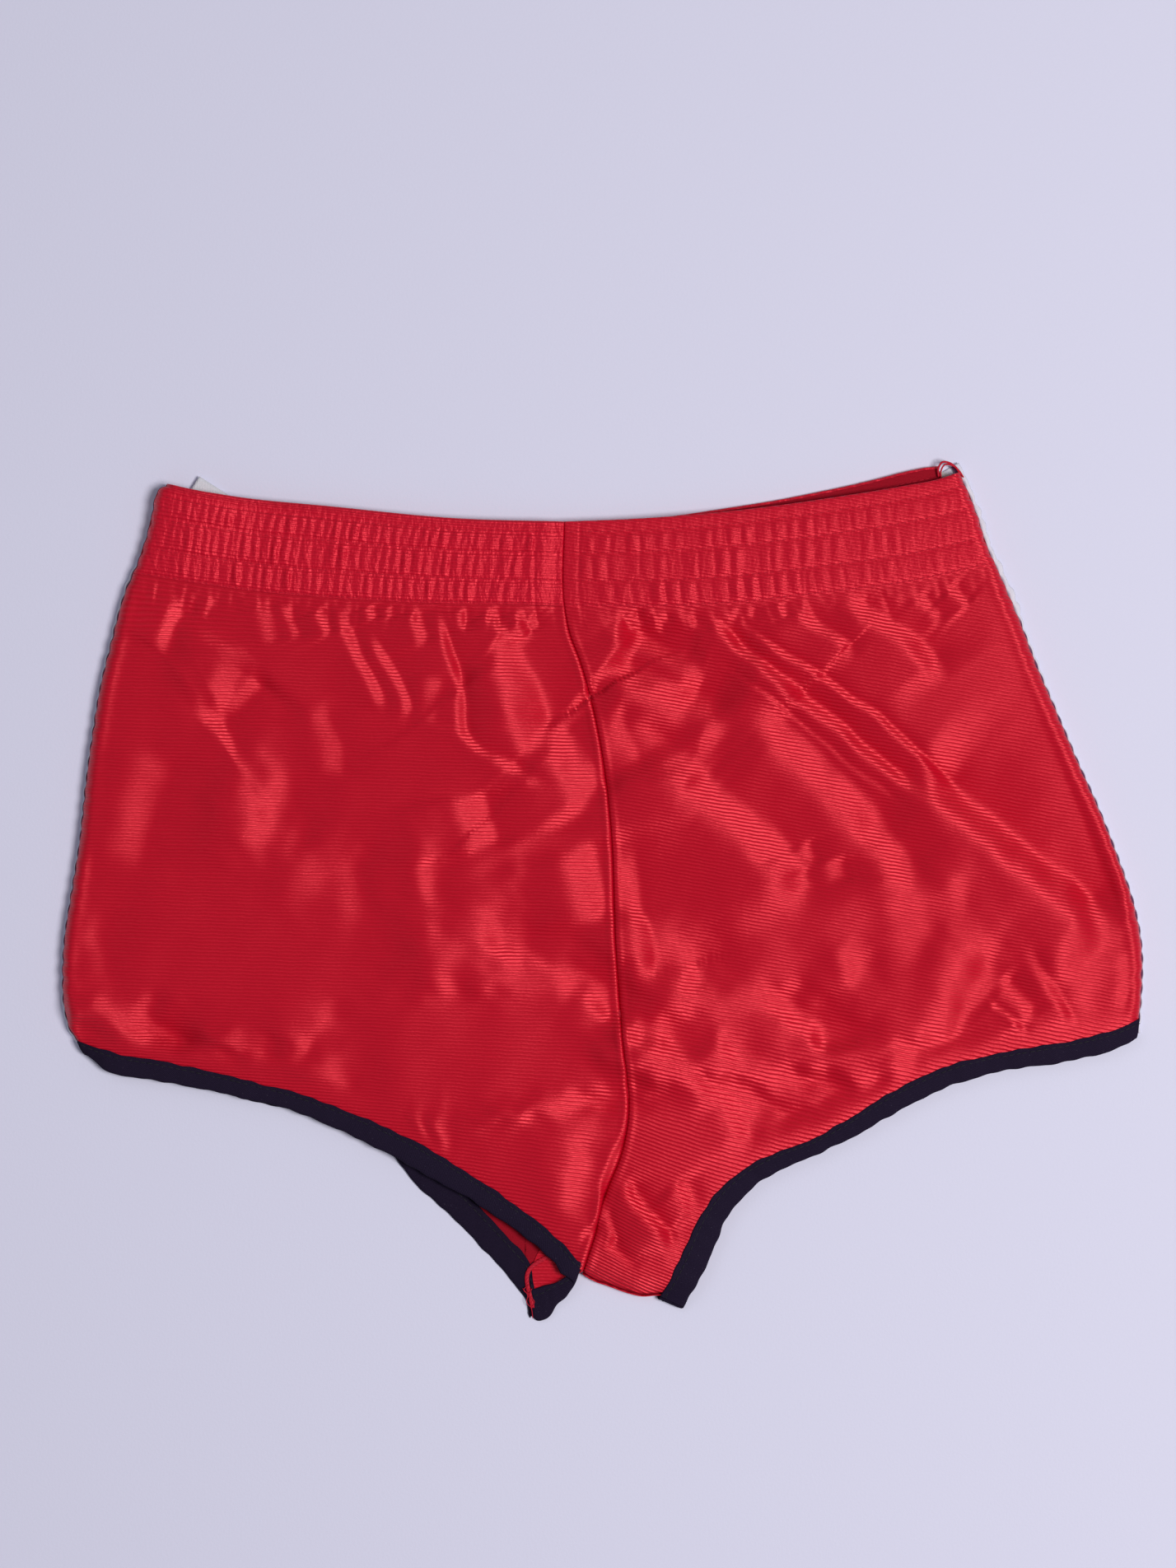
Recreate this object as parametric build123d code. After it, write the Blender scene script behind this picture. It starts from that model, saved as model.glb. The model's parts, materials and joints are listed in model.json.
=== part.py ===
"""Short satin boxing shorts with a shirred elastic waist, white side stripes and bound leg openings.

The garment lies flat on its back: +Z is up from the surface it lies on, +Y points to the waist and
+X to the wearer's left. The origin is the bottom centre of the bounding box. All sizes are in mm.

The cloth is a flattened tube. Nested "pillows" (closed plan outlines with rounded rims) give every
layer: the cloth is the space between two of them, the elastic the space between two deeper ones.
Plan curves then cut that space into the pieces that are sewn together. The front and the back meet
half way up the rounded rim, and at the crotch the front is turned under to reach the inseams.
"""

from build123d import *

import os
from functools import cache
from math import sqrt

# ---- driving dimensions ------------------------------------------------------------------------
LOFT = 12.0            # height of the garment as it lies, front face to back face
CLOTH = 0.9            # body cloth
CASING = 0.6           # one layer of the waistband casing
ELASTIC = 1.1          # elastic thickness
BAND = 35.0            # waistband height
BINDING = 9.5          # width of the leg binding on each face
BINDING_SKIN = 0.35    # one layer of the binding
BINDING_LIP = 0.8      # binding beyond the raw edge of the cloth
STRIPE = 9.0           # width of the side stripe on the back of the garment
THREAD_WIDTH = 0.6     # width of a row of stitches
THREAD_DEPTH = 0.2     # how deep a row of stitches is sunk into the cloth
STITCH_ROWS = (4.5, 13.5, 24.5, 33.5)   # distance of each shirring row from the waist edge
BINDING_STITCH = 7.8   # distance of the binding's stitching from the leg edge
SEAM_WIDTH = 6.0       # overlocked seam allowance, pressed open or to one side
SEAM_THICKNESS = 0.6
LABEL_LENGTH = 40.0
LABEL_WIDTH = 22.0
LABEL_THICKNESS = 0.4
LABEL_TILT = -32.7     # degrees from +X of the way from the label's free end to its sewn end
LABEL_SEWN = (-139.4, 141.9)            # middle of the label's sewn end, in plan
LABEL_GAP = 0.3        # clear height between the label and the waistband under it
LABEL_MARGIN = 1.0     # from each end of the label's stitching to the label's edge
ROUND_GAP = 0.5        # upright strip left between the two rounded edges of the rim
FAR = 260.0            # beyond the garment in plan
OVER = 1.0             # beyond the garment in height
STRAIGHT = 1e-4        # sine of the least bend that is drawn as an arc
MID = LOFT / 2         # height at which the front meets the back and the side stripes
BAND_THICKNESS = 2 * CASING + ELASTIC

# ---- plan outlines, in (X, Y) ------------------------------------------------------------------
# The rim all round: down the wearer's right side, under the crotch, up the wearer's left side.
RIGHT_SIDE = [
    (-177, 192), (-182.5, 168), (-189, 146), (-197, 126), (-206, 95), (-212, 58),
    (-216, 24), (-221.5, -8), (-223.5, -34), (-220, -54), (-210.5, -72),
]
CROTCH_FOLD = [
    (-190, -112), (-130, -168), (-60, -196), (-18, -198), (-9.5, -178), (-7.5, -162),
    (2, -161.5), (12, -165.5), (24, -169), (34, -173), (62, -186), (130, -180), (192, -130),
]
LEFT_SIDE = [
    (217, -78), (222.5, -56), (223.5, -36), (221, -7), (206, 34), (188, 75),
    (172, 115), (163, 137), (157, 150), (146, 174), (139, 192),
]
RIM = RIGHT_SIDE + CROTCH_FOLD + LEFT_SIDE
FRONT_WAIST = [
    (-FAR, 178), (-182.5, 168), (-113, 159.5), (-17, 153.7), (58, 158), (108, 166.5),
    (146, 174), (FAR, 190),
]
BACK_WAIST = [
    (-FAR, 178), (-182.5, 168), (-113, 158.5), (-17, 153.7), (62, 161.5), (104, 170),
    (146, 176.7), (FAR, 184),
]
CENTRE_FRONT = [
    (-15.8, FAR), (-15.8, 154), (-15.8, 119), (-5.6, 76), (4.3, 32), (7, -15), (10.7, -83),
    (9, -106), (1, -134), (-3, -156), (-3, -200),
]
CENTRE_BACK = [(-15.8, FAR), (-15.8, 154), (-15.8, 119), (-9, 60), (-2, 0), (2, -60), (1, -134)]
CROTCH_POINT_BACK = (1, -200)           # carries the centre back seam's line past the crotch
# The inseams run from the tip of the right leg's tail over the crotch point to the left leg.
RIGHT_INSEAM = [(-25, -184), (-31, -164), (-26, -148), (0, -136)]
LEFT_INSEAM = [(0, -136), (22, -138), (44, -148), (60, -155)]
BELOW_INSEAMS = [(60, -FAR), (-25, -FAR)]
# Each leg opening, front and back, from its outer side to the crotch or the other way.
RIGHT_LEG_FRONT = [
    (-FAR, -52), (-212, -69.5), (-167, -81.3), (-140, -86.7), (-113, -96.5), (-85, -110),
    (-58, -126), (-31, -144.5), (-9, -163), (14, -184),
]
RIGHT_LEG_BACK = [
    (-FAR, -52), (-212, -69.5), (-167, -81.3), (-140, -86.7), (-113, -96.5), (-87, -109.5),
    (-65, -131), (-45, -151.5), (-27, -174), (-8, -200),
]
LEFT_LEG_FRONT = [
    (31, -210), (34, -171), (45, -150), (55, -129.5), (78, -112), (105, -100), (132, -85),
    (173, -72.4), (221, -61), (FAR, -40),
]
LEFT_LEG_BACK = [
    (29, -210), (32, -169), (43, -148), (54, -127), (78, -110), (105, -98), (132, -84),
    (173, -72), (221, -61), (FAR, -40),
]
# The right leg's tail, where the crotch is turned under, ends on this line left of CROTCH_TURN.
TAIL_EDGE = [(-50, -199), (-8, -161), (20, -135.7)]
CROTCH_TURN = -8.0


# ---- plan geometry -----------------------------------------------------------------------------
def along(points, i):
    """The direction of a curve at its point i: parallel to the line between its neighbours."""
    x0, y0 = points[max(i - 1, 0)]
    x1, y1 = points[min(i + 1, len(points) - 1)]
    return Vector(x1 - x0, y1 - y0).normalized()


def shifted(points, distance):
    """The points moved sideways by distance, to the left of the way they run."""
    moved = []
    for i, point in enumerate(points):
        direction = along(points, i)
        moved.append(Vector(*point) + Vector(-direction.Y, direction.X) * distance)
    return moved


def two_arcs(start, end, leaving, arriving):
    """Two tangent arcs, or lines where it is straight, between two points and directions."""
    chord = end - start
    forward = chord.dot(leaving + arriving)
    turn = 2 * (1 - leaving.dot(arriving))
    if turn < STRAIGHT ** 2:
        reach = chord.dot(chord) / (2 * forward)
    else:
        reach = (sqrt(forward ** 2 + turn * chord.dot(chord)) - forward) / turn
    joint = (start + end + (leaving - arriving) * reach) / 2
    edges = []
    for point, direction in ((start, leaving), (end, arriving * -1)):
        bend = abs((joint - point).normalized().cross(direction).Z)
        if bend < STRAIGHT:
            edges.append(Line(point, joint))
        else:
            edges.append(TangentArc(point, joint, tangent=direction))
    return edges


def curve(points, shift=0.0):
    """A smooth chain of arcs through the points, moved sideways by shift."""
    places = shifted(points, shift)
    edges = []
    for i in range(len(points) - 1):
        edges += two_arcs(places[i], places[i + 1], along(points, i), along(points, i + 1))
    return edges


def left_of(points, shift, *corners):
    """The plan region between a shifted curve and the straight lines that close it."""
    places = shifted(points, shift)
    closing = Polyline(places[-1], *corners, places[0])
    return make_face(curve(points, shift) + closing.edges())


def below(points, shift=0.0):
    """The plan region on the crotch side of a shifted curve that runs towards +X."""
    return left_of(points, shift, (FAR, -FAR), (-FAR, -FAR))


def ribbon(points, width, shift=0.0):
    """A plan strip of constant width centred on a shifted curve."""
    sides = [shift + width / 2, shift - width / 2]
    ends = [Line(shifted(points, sides[0])[i], shifted(points, sides[1])[i]) for i in (0, -1)]
    return make_face(curve(points, sides[0]) + curve(points, sides[1]) + ends)


def prism(face, bottom, top):
    return Pos(0, 0, bottom) * extrude(face, amount=top - bottom, dir=(0, 0, 1))


def front(face):
    return prism(face, MID, LOFT + OVER)


def back(face):
    return prism(face, -OVER, MID)


# ---- layers ------------------------------------------------------------------------------------
@cache
def pillow(inset):
    """The garment's closed outer form, set in by inset on every side."""
    body = prism(left_of(RIM, inset), inset, LOFT - inset)
    rims = body.edges().filter_by(Axis.Z, reverse=True)
    mouth = rims.sort_by(Axis.Y)[-2:]
    return fillet([edge for edge in rims if edge not in mouth], MID - inset - ROUND_GAP / 2)


def layer(outer, inner):
    """The space between two pillows."""
    return pillow(outer) - pillow(inner)


def band_ring(top, bottom):
    """The zone between two distances below the waist edge, front and back."""
    sides = []
    for half, waist in ((front, FRONT_WAIST), (back, BACK_WAIST)):
        sides.append(half(below(waist, -top) - below(waist, -bottom)))
    return sides[0] + sides[1]


def below_band():
    return front(below(FRONT_WAIST, -BAND)) + back(below(BACK_WAIST, -BAND))


def crotch_side(x):
    """Everything on the wearer's right of a plane of constant X."""
    return Pos(x - FAR, 0, MID) * Box(2 * FAR, 2 * FAR, 2 * LOFT)


def outside_legs(inset):
    """What lies beyond each leg's edge when that edge is moved into the cloth by inset."""
    right = front(below(RIGHT_LEG_FRONT, inset))
    right += back(below(RIGHT_LEG_BACK, inset))
    right += back(below(TAIL_EDGE, inset))
    left = front(below(LEFT_LEG_FRONT, inset))
    left += back(below(LEFT_LEG_BACK, inset))
    return right & crotch_side(CROTCH_TURN), left


# ---- cloth, elastic and bindings ---------------------------------------------------------------
def elastic():
    """A flat loop round the waist, sealed inside the casing."""
    return layer(CASING, CASING + ELASTIC) & band_ring(CASING, BAND - CASING)


def stitch_row(distance):
    """One row of shirring thread all round the band, sunk into the casing."""
    ring = band_ring(distance - THREAD_WIDTH / 2, distance + THREAD_WIDTH / 2)
    return layer(0, THREAD_DEPTH) & ring


def bindings(shell, edges):
    """Each leg's folded tape: a U round the raw edge, one loop front and back."""
    raw_edges = outside_legs(BINDING_LIP)
    inner_edges = outside_legs(BINDING)
    tongue = layer(BINDING_SKIN, CLOTH - BINDING_SKIN)
    loops = []
    for edge, raw_edge, inner_edge in zip(edges, raw_edges, inner_edges):
        slot = (tongue & inner_edge) - raw_edge
        loops.append((shell & inner_edge) - edge - slot)
    return loops


def binding_stitches(edges):
    """The line of thread that holds each binding, sunk into its outer face."""
    skin = layer(0, THREAD_DEPTH)
    near = outside_legs(BINDING_STITCH - THREAD_WIDTH / 2)
    far = outside_legs(BINDING_STITCH + THREAD_WIDTH / 2)
    return [(skin & outer) - inner for inner, outer in zip(near, far)]


def cloth(shell, waist_elastic):
    """All the body cloth in one, with the casing folded round the elastic."""
    casing = layer(0, BAND_THICKNESS) & band_ring(0, BAND)
    whole = (shell & below_band()) + (casing - waist_elastic)
    for beyond in outside_legs(BINDING_LIP):
        whole -= beyond
    return whole


# ---- panels and stripes ------------------------------------------------------------------------
def right_stripe_zone():
    seam = RIGHT_SIDE + CROTCH_FOLD[:1]
    return back(left_of(seam, STRIPE, (-FAR, -FAR), (-FAR, FAR)))


def left_stripe_zone():
    seam = CROTCH_FOLD[-1:] + LEFT_SIDE
    return back(left_of(seam, STRIPE, (FAR, FAR), (FAR, -FAR)))


def panels(whole):
    """The four panels and the two stripes, cut from the whole cloth along the seams."""
    right_stripe = whole & right_stripe_zone()
    left_stripe = whole & left_stripe_zone()
    front_of_right = left_of(CENTRE_FRONT, 0, (-FAR, -FAR), (-FAR, FAR))
    back_of_right = left_of(CENTRE_BACK + [CROTCH_POINT_BACK], 0, (-FAR, -FAR), (-FAR, FAR))
    under_arch = back(left_of(RIGHT_INSEAM + LEFT_INSEAM[1:], 0, *BELOW_INSEAMS))
    turned_under = whole & under_arch
    front_cloth = whole & front(Rectangle(2 * FAR, 2 * FAR))
    back_cloth = whole & back(Rectangle(2 * FAR, 2 * FAR))
    back_cloth = back_cloth - right_stripe_zone() - left_stripe_zone() - under_arch
    return {
        "front_right_panel": (front_cloth & front(front_of_right)) + (turned_under & back(front_of_right)),
        "front_left_panel": (front_cloth - front(front_of_right)) + (turned_under - back(front_of_right)),
        "back_right_panel": back_cloth & back(back_of_right),
        "back_left_panel": back_cloth - back(back_of_right),
        "right_side_stripe": right_stripe,
        "left_side_stripe": left_stripe,
    }


# ---- overlocked seams --------------------------------------------------------------------------
def overlocks():
    """The seam allowances in their overlock thread: strips along the seams inside the cloth."""
    inside = layer(CLOTH, CLOTH + SEAM_THICKNESS) & below_band()
    for beyond in outside_legs(BINDING_LIP):
        inside -= beyond
    right_inseam = back(ribbon(RIGHT_INSEAM, SEAM_WIDTH))
    left_inseam = back(ribbon(LEFT_INSEAM, SEAM_WIDTH))
    near_rim = Pos(0, 0, MID) * Box(2 * FAR, 2 * FAR, SEAM_WIDTH)
    right_rim = near_rim & crotch_side(RIGHT_SIDE[-1][0] + STRIPE)
    left_rim = near_rim & Pos(LEFT_SIDE[-1][0] + FAR, 0, MID) * Box(2 * FAR, 2 * FAR, 2 * LOFT)
    return {
        "centre_front_overlock": inside & front(ribbon(CENTRE_FRONT, SEAM_WIDTH)),
        "centre_back_overlock": (inside & back(ribbon(CENTRE_BACK, SEAM_WIDTH))) - right_inseam - left_inseam,
        "right_inseam_overlock": inside & right_inseam,
        "left_inseam_overlock": (inside & left_inseam) - right_inseam,
        "right_front_side_overlock": inside & right_rim,
        "left_front_side_overlock": inside & left_rim,
        "right_back_side_overlock": inside & back(ribbon(RIGHT_SIDE, SEAM_WIDTH, STRIPE)),
        "left_back_side_overlock": inside & back(ribbon(LEFT_SIDE, SEAM_WIDTH, STRIPE)),
    }


# ---- care label --------------------------------------------------------------------------------
def on_band(length, width, thickness, bottom):
    """A flat strip that reaches back from the label's sewn end towards its free end."""
    place = Pos(*LABEL_SEWN, bottom) * Rot(0, 0, LABEL_TILT)
    strip = Box(length, width, thickness, align=(Align.MAX, Align.CENTER, Align.MIN))
    return place * strip


def care_label():
    return on_band(LABEL_LENGTH, LABEL_WIDTH, LABEL_THICKNESS, BAND_THICKNESS + LABEL_GAP)


def care_label_stitching():
    """The bar of thread that holds the label's end to the band."""
    return on_band(THREAD_WIDTH, LABEL_WIDTH - 2 * LABEL_MARGIN, LABEL_GAP, BAND_THICKNESS)


# ---- assembly ----------------------------------------------------------------------------------
def garment():
    shell = layer(0, CLOTH)
    edges = outside_legs(0)
    waist_elastic = elastic()
    rows = [stitch_row(distance) for distance in STITCH_ROWS]
    loops = bindings(shell, edges)
    loop_stitches = binding_stitches(edges)
    whole = cloth(shell, waist_elastic)
    for piece in loops + rows:
        whole -= piece
    pieces = panels(whole)
    pieces["waist_elastic"] = waist_elastic
    for number, row in enumerate(rows, 1):
        pieces[f"waist_stitch_row_{number}"] = row
    for side, loop, thread in zip(("right", "left"), loops, loop_stitches):
        pieces[f"{side}_leg_binding"] = loop - thread
        pieces[f"{side}_binding_stitching"] = thread
    pieces.update(overlocks())
    pieces["care_label"] = care_label()
    pieces["care_label_stitching"] = care_label_stitching()
    return pieces


def main():
    pieces = garment()
    box = Compound([solid for piece in pieces.values() for solid in piece.solids()]).bounding_box()
    home = Pos(-box.center().X, -box.center().Y, -box.min.Z)
    print("size", box.size)
    os.makedirs("parts", exist_ok=True)
    for name, piece in pieces.items():
        solids = (home * piece).solids()
        print(name, [round(solid.volume, 1) for solid in solids])
        shape = solids[0] if len(solids) == 1 else Compound(solids)
        export_step(shape, f"parts/{name}.step")


if __name__ == "__main__":
    main()
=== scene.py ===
"""Short satin boxing shorts lying on their back on a pale sheet, seen from above.

Plan shapes are in millimetres in the frame's own axes: +X to the wearer's left, +Y to the waist,
+Z up. Each panel is a grid of cloth spanned between its own edges, and its folds, gathers and
seams are ridges added to that grid. Meshes are written in metres.
"""

import json
import math

import bpy
import numpy as np
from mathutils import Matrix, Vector
from mathutils.bvhtree import BVHTree

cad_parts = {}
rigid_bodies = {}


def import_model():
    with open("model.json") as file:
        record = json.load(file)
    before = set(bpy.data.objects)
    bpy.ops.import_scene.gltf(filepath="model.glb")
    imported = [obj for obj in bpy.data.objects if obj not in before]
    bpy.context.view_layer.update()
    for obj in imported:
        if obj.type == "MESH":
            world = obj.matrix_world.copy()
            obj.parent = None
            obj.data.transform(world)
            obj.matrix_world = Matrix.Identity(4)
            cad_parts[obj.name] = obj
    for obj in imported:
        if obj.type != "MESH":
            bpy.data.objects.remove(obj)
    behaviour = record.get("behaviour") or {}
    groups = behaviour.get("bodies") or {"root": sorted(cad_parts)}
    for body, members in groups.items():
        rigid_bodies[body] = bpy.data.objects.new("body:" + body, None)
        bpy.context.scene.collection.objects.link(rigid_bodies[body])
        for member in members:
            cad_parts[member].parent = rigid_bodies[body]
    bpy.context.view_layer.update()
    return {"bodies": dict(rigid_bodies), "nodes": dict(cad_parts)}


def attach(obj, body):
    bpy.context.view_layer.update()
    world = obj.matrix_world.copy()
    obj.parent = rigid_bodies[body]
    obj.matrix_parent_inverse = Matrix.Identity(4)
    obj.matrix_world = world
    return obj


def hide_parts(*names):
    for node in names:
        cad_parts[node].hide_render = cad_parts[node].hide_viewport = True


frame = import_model()


def body_of(node):
    """The name of the body that carries a CAD node."""
    parent = frame["nodes"][node].parent
    return next(name for name, body in frame["bodies"].items() if body == parent)


MM = 0.001
FULL_TURN = 2 * math.pi
GARMENT = body_of("waist_elastic")
LABEL_BODY = body_of("care_label")

# ---- heights above the surface, in mm ----------------------------------------------------------
FRONT_LEVEL = 9.0      # outer face of the front panels away from their edges
BAND_LEVEL = 8.2       # outer face of the front of the waistband
SEAM_LEVEL = 3.0       # where the front meets the side stripes
HEM_LEVEL = 5.2        # the front's leg edges
CROTCH_LEVEL = 2.2     # where the front rounds under at the crotch
BACK_LEVEL = 0.15      # outer face of the back panels where they lie flat
REST_LEVEL = 0.02      # the lowest that anything reaches
CLOTH = 0.5            # thickness of the body cloth, then of the other sheets
BINDING_CLOTH = 0.25
STRIPE_CLOTH = 0.35
ELASTIC_CLOTH = 0.6
LABEL_CLOTH = 0.18
CASING_GAP = 1.7       # distance between the two layers of the casing
BAND_DEPTH = 35.0      # from the waist's edge to the last row of stitches
RIB_PITCH = 1.46       # the satin's crosswise ribs
CENTRE_X = -15.8       # where the centre seams run across the waistband

# ---- plan outlines, in mm ----------------------------------------------------------------------
RIGHT_SIDE = [
    (-180.4, 168.6), (-183.8, 166.8), (-185.4, 162.6), (-186.6, 156), (-191.9, 138), (-197.2, 125.5),
    (-203.0, 105), (-207.9, 84.7), (-211.3, 64.3), (-214, 43.9), (-216.6, 20), (-220, -1), (-222.8, -20),
    (-223.5, -34), (-222.6, -48), (-219.5, -58.1), (-214.7, -63.5),
]
LEFT_SIDE = [
    (147.5, 174.6), (151, 167), (155.4, 156), (159.3, 143.5), (163.7, 134), (171.7, 115.5), (179.5, 94.9),
    (188.2, 74.5), (196.9, 54.1), (206, 33.7), (213.9, 13.3), (220.6, -7), (223.2, -22), (223.4, -36),
    (222.6, -48), (221.5, -58),
]
FRONT_WAIST_RIGHT = [
    (-180.4, 168.6), (-172, 166.6), (-153.5, 163.5), (-112.7, 159.5), (-58.3, 154.7), (-15.8, 153.7),
]
FRONT_WAIST_LEFT = [
    (-15.8, 153.7), (9.7, 154.5), (36.9, 156.2), (64.1, 158.9), (93.7, 162.9), (123.3, 167.6), (137, 170.2),
    (146.6, 173.4),
]
FRONT_BAND_RIGHT = [(-193.0, 131.8), (-142.6, 124.6), (-85.2, 120.6), (-28.1, 119.3), (-15.8, 119)]
FRONT_BAND_LEFT = [(-15.8, 119), (9.7, 118.4), (49.5, 119.4), (93.7, 124.1), (123.3, 127.8), (160.6, 136)]
CENTRE_FRONT = [
    (-15.8, 153.7), (-15.8, 119), (-13.8, 108), (-9.7, 96.9), (-1.2, 62.9), (3.2, 28.9), (5.3, -22.1),
    (7.7, -56.1), (10.2, -96), (7.5, -108), (1.2, -124.1), (-3.2, -141.1), (-8.2, -156.8),
]
CENTRE_BACK = [(-15.8, 153.7), (-15.8, 119), (-9, 60), (-2, 0), (2, -60), (0, -136)]
RIGHT_LEG_FRONT = [
    (-214.0, -66.5), (-208.2, -71.6), (-180.7, -78.3), (-153.5, -83.6), (-126.3, -90.8), (-99.1, -102.7),
    (-71.9, -117.2), (-51.5, -129), (-31.1, -143), (-15.2, -157.2),
]
RIGHT_LEG_FRONT_INNER = [
    (-216.8, -61.2), (-207.5, -64.4), (-180.7, -69.6), (-153.5, -75.6), (-126.3, -82.6), (-99.1, -92.5),
    (-71.9, -105.5), (-45, -122.6), (-22, -139.5), (-9.5, -151.8),
]
RIGHT_TURN_INNER = [(-8.6, -155.0), (-14.6, -159.5), (-20.5, -162.0), (-27.8, -164.6)]
RIGHT_LEG_BACK = [
    (-30.2, -176.5), (-32.1, -168.5), (-37.9, -160.6), (-51.5, -145.6), (-65.1, -132), (-78.7, -119.3),
    (-92, -103.5), (-113, -95), (-150, -85), (-185, -76), (-209, -69.5),
]
RIGHT_LEG_BACK_INNER = [
    (-28.6, -163.5), (-30.2, -153.5), (-37.5, -144.6), (-46, -135.5), (-57, -124), (-70, -110.5),
    (-84, -96), (-107, -86), (-147, -75.5), (-183, -67), (-214, -62),
]
LEFT_LEG_FRONT = [
    (33.6, -171.4), (37.5, -165), (42.8, -154.5), (46.9, -144.5), (51.5, -134.5), (58, -126), (66, -119),
    (77.7, -112.6), (91.3, -107.2), (104.9, -100.2), (118.5, -92.4), (132.1, -85.2), (145.7, -79.1),
    (159.3, -75), (172.9, -72.5), (186.5, -70.6), (200.1, -68), (213.7, -64.2), (220.6, -60.6),
]
LEFT_LEG_FRONT_INNER = [
    (23.8, -166.6), (28.6, -158.5), (33.8, -147.5), (38.6, -136.5), (44.2, -127.5), (51, -120), (60, -113),
    (72, -107), (87, -101.5), (99, -95), (112, -86.5), (126, -78.7), (141, -72), (156, -67.6), (171, -64.8),
    (185, -62.4), (199, -59.8), (213.7, -55.7), (221.4, -52.5),
]
CROTCH_FOLD = [(-8.4, -157.6), (-3.9, -160.3), (2.9, -162.7), (9.7, -165.2), (16.5, -166.8), (22.8, -166.4)]
BACK_WAIST_RIGHT = [(-180.4, 167.9), (-153.5, 163.4), (-112.7, 158.6), (-58.3, 154), (-15.8, 153)]
BACK_WAIST_LEFT = [
    (-15.8, 153), (9.7, 154.4), (30, 156.4), (49, 159.2), (75, 163.4), (90, 166.4), (105, 169.6),
    (115, 172.0), (125, 174.6), (135, 176.6), (141, 177.2),
]
BACK_BAND_RIGHT = [(-193.0, 131.8), (-142.6, 125), (-85.2, 120.6), (-28.1, 119.3), (-15.8, 119)]
BACK_BAND_LEFT = [(-15.8, 119), (9.7, 119.6), (49.5, 123.4), (93.7, 132.1), (123.3, 136.8), (158.0, 142)]
INSEAM_RIGHT = [(-29.0, -172), (-30.8, -157), (-19.5, -149), (0, -136)]
INSEAM_LEFT = [(0, -136), (22, -138), (41, -148)]


# ---- curves and grids --------------------------------------------------------------------------
def unit(vectors):
    return vectors / np.linalg.norm(vectors, axis=-1, keepdims=True)


def step_lengths(path):
    return np.linalg.norm(np.diff(path, axis=0), axis=1)


def travel_along(path):
    """Distance along a path at each of its points."""
    return np.r_[0, np.cumsum(step_lengths(path))]


def sampled(at, travel, path):
    """A path's columns at the given distances along it."""
    return np.stack([np.interp(at, travel, column) for column in path.T], axis=1)


def leftward(path):
    """Unit plan vectors to the left of the way a path runs, at each of its points."""
    way = unit(np.gradient(path, axis=0))
    return np.stack([-way[:, 1], way[:, 0]], axis=1)


def spread(points, count):
    """count + 1 points at equal steps along a smooth curve through the given points."""
    points = np.array(points, float)
    length = travel_along(points)
    slope = np.gradient(points, length, axis=0)
    at = np.linspace(0, length[-1], 2000)
    first = np.clip(np.searchsorted(length, at, "right") - 1, 0, len(points) - 2)
    run = (length[first + 1] - length[first])[:, None]
    t = (at - length[first])[:, None] / run
    dense = ((2 * t**3 - 3 * t**2 + 1) * points[first] + (t**3 - 2 * t**2 + t) * run * slope[first]
             + (3 * t**2 - 2 * t**3) * points[first + 1] + (t**3 - t**2) * run * slope[first + 1])
    travel = travel_along(dense)
    return sampled(np.linspace(0, travel[-1], count + 1), travel, dense)


def span(top, bottom, left, right):
    """A grid of plan points between four edges, rows from top to bottom."""
    u = np.linspace(0, 1, len(top))[None, :, None]
    v = np.linspace(0, 1, len(left))[:, None, None]
    corners = ((1 - u) * (1 - v) * top[0] + u * (1 - v) * top[-1]
               + (1 - u) * v * bottom[0] + u * v * bottom[-1])
    return (1 - v) * top + v * bottom + (1 - u) * left[:, None] + u * right[:, None] - corners


def ease(t):
    """0 below 0 and 1 above 1, with a smooth rise between."""
    t = np.clip(t, 0, 1)
    return t * t * (3 - 2 * t)


def hump(distance, width):
    """A soft ridge's height, 1 on its line and falling off over its width."""
    return np.exp(-(distance / width) ** 2)


def distance_to(place, path):
    """Signed distance from each place to a path, positive on its left, and where along it."""
    path = spread(path, 24)
    best = np.full(place.shape[:-1], 1e9)
    side = np.zeros_like(best)
    where = np.zeros_like(best)
    for i in range(len(path) - 1):
        step = path[i + 1] - path[i]
        offset = place - path[i]
        t = np.clip((offset @ step) / (step @ step), 0, 1)
        away = np.hypot(*np.moveaxis(offset - t[..., None] * step, -1, 0))
        nearer = away < best
        best = np.where(nearer, away, best)
        side = np.where(nearer, np.sign(step[0] * offset[..., 1] - step[1] * offset[..., 0]), side)
        where = np.where(nearer, (i + t) / (len(path) - 1), where)
    return best * side, where


# ---- folds -------------------------------------------------------------------------------------
LIT_SIDE = (0.98, -0.17)               # the way in plan that the lit flanks face
CREST = 0.55           # how rounded a fold's upper bend is, as a share of its half width
CREASE = 0.22          # how rounded its lower bend is
SINK = 0.5 * (CREST - CREASE) * math.log(2)    # how much lower the cloth beside it lies, likewise
NARROW = 4.0           # the half width in mm below which a fold's lower side climbs back quickly
VALLEY = 1.3           # how far that takes, in half widths
LONGEST_TAIL = 19.0    # the longest stretch over which a fold fades at its ends, in mm


def bend(t, softness):
    """Half of the softened absolute value of t."""
    t = np.abs(t) / softness
    return 0.5 * softness * (t + np.log1p(np.exp(-2 * t)))


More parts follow.
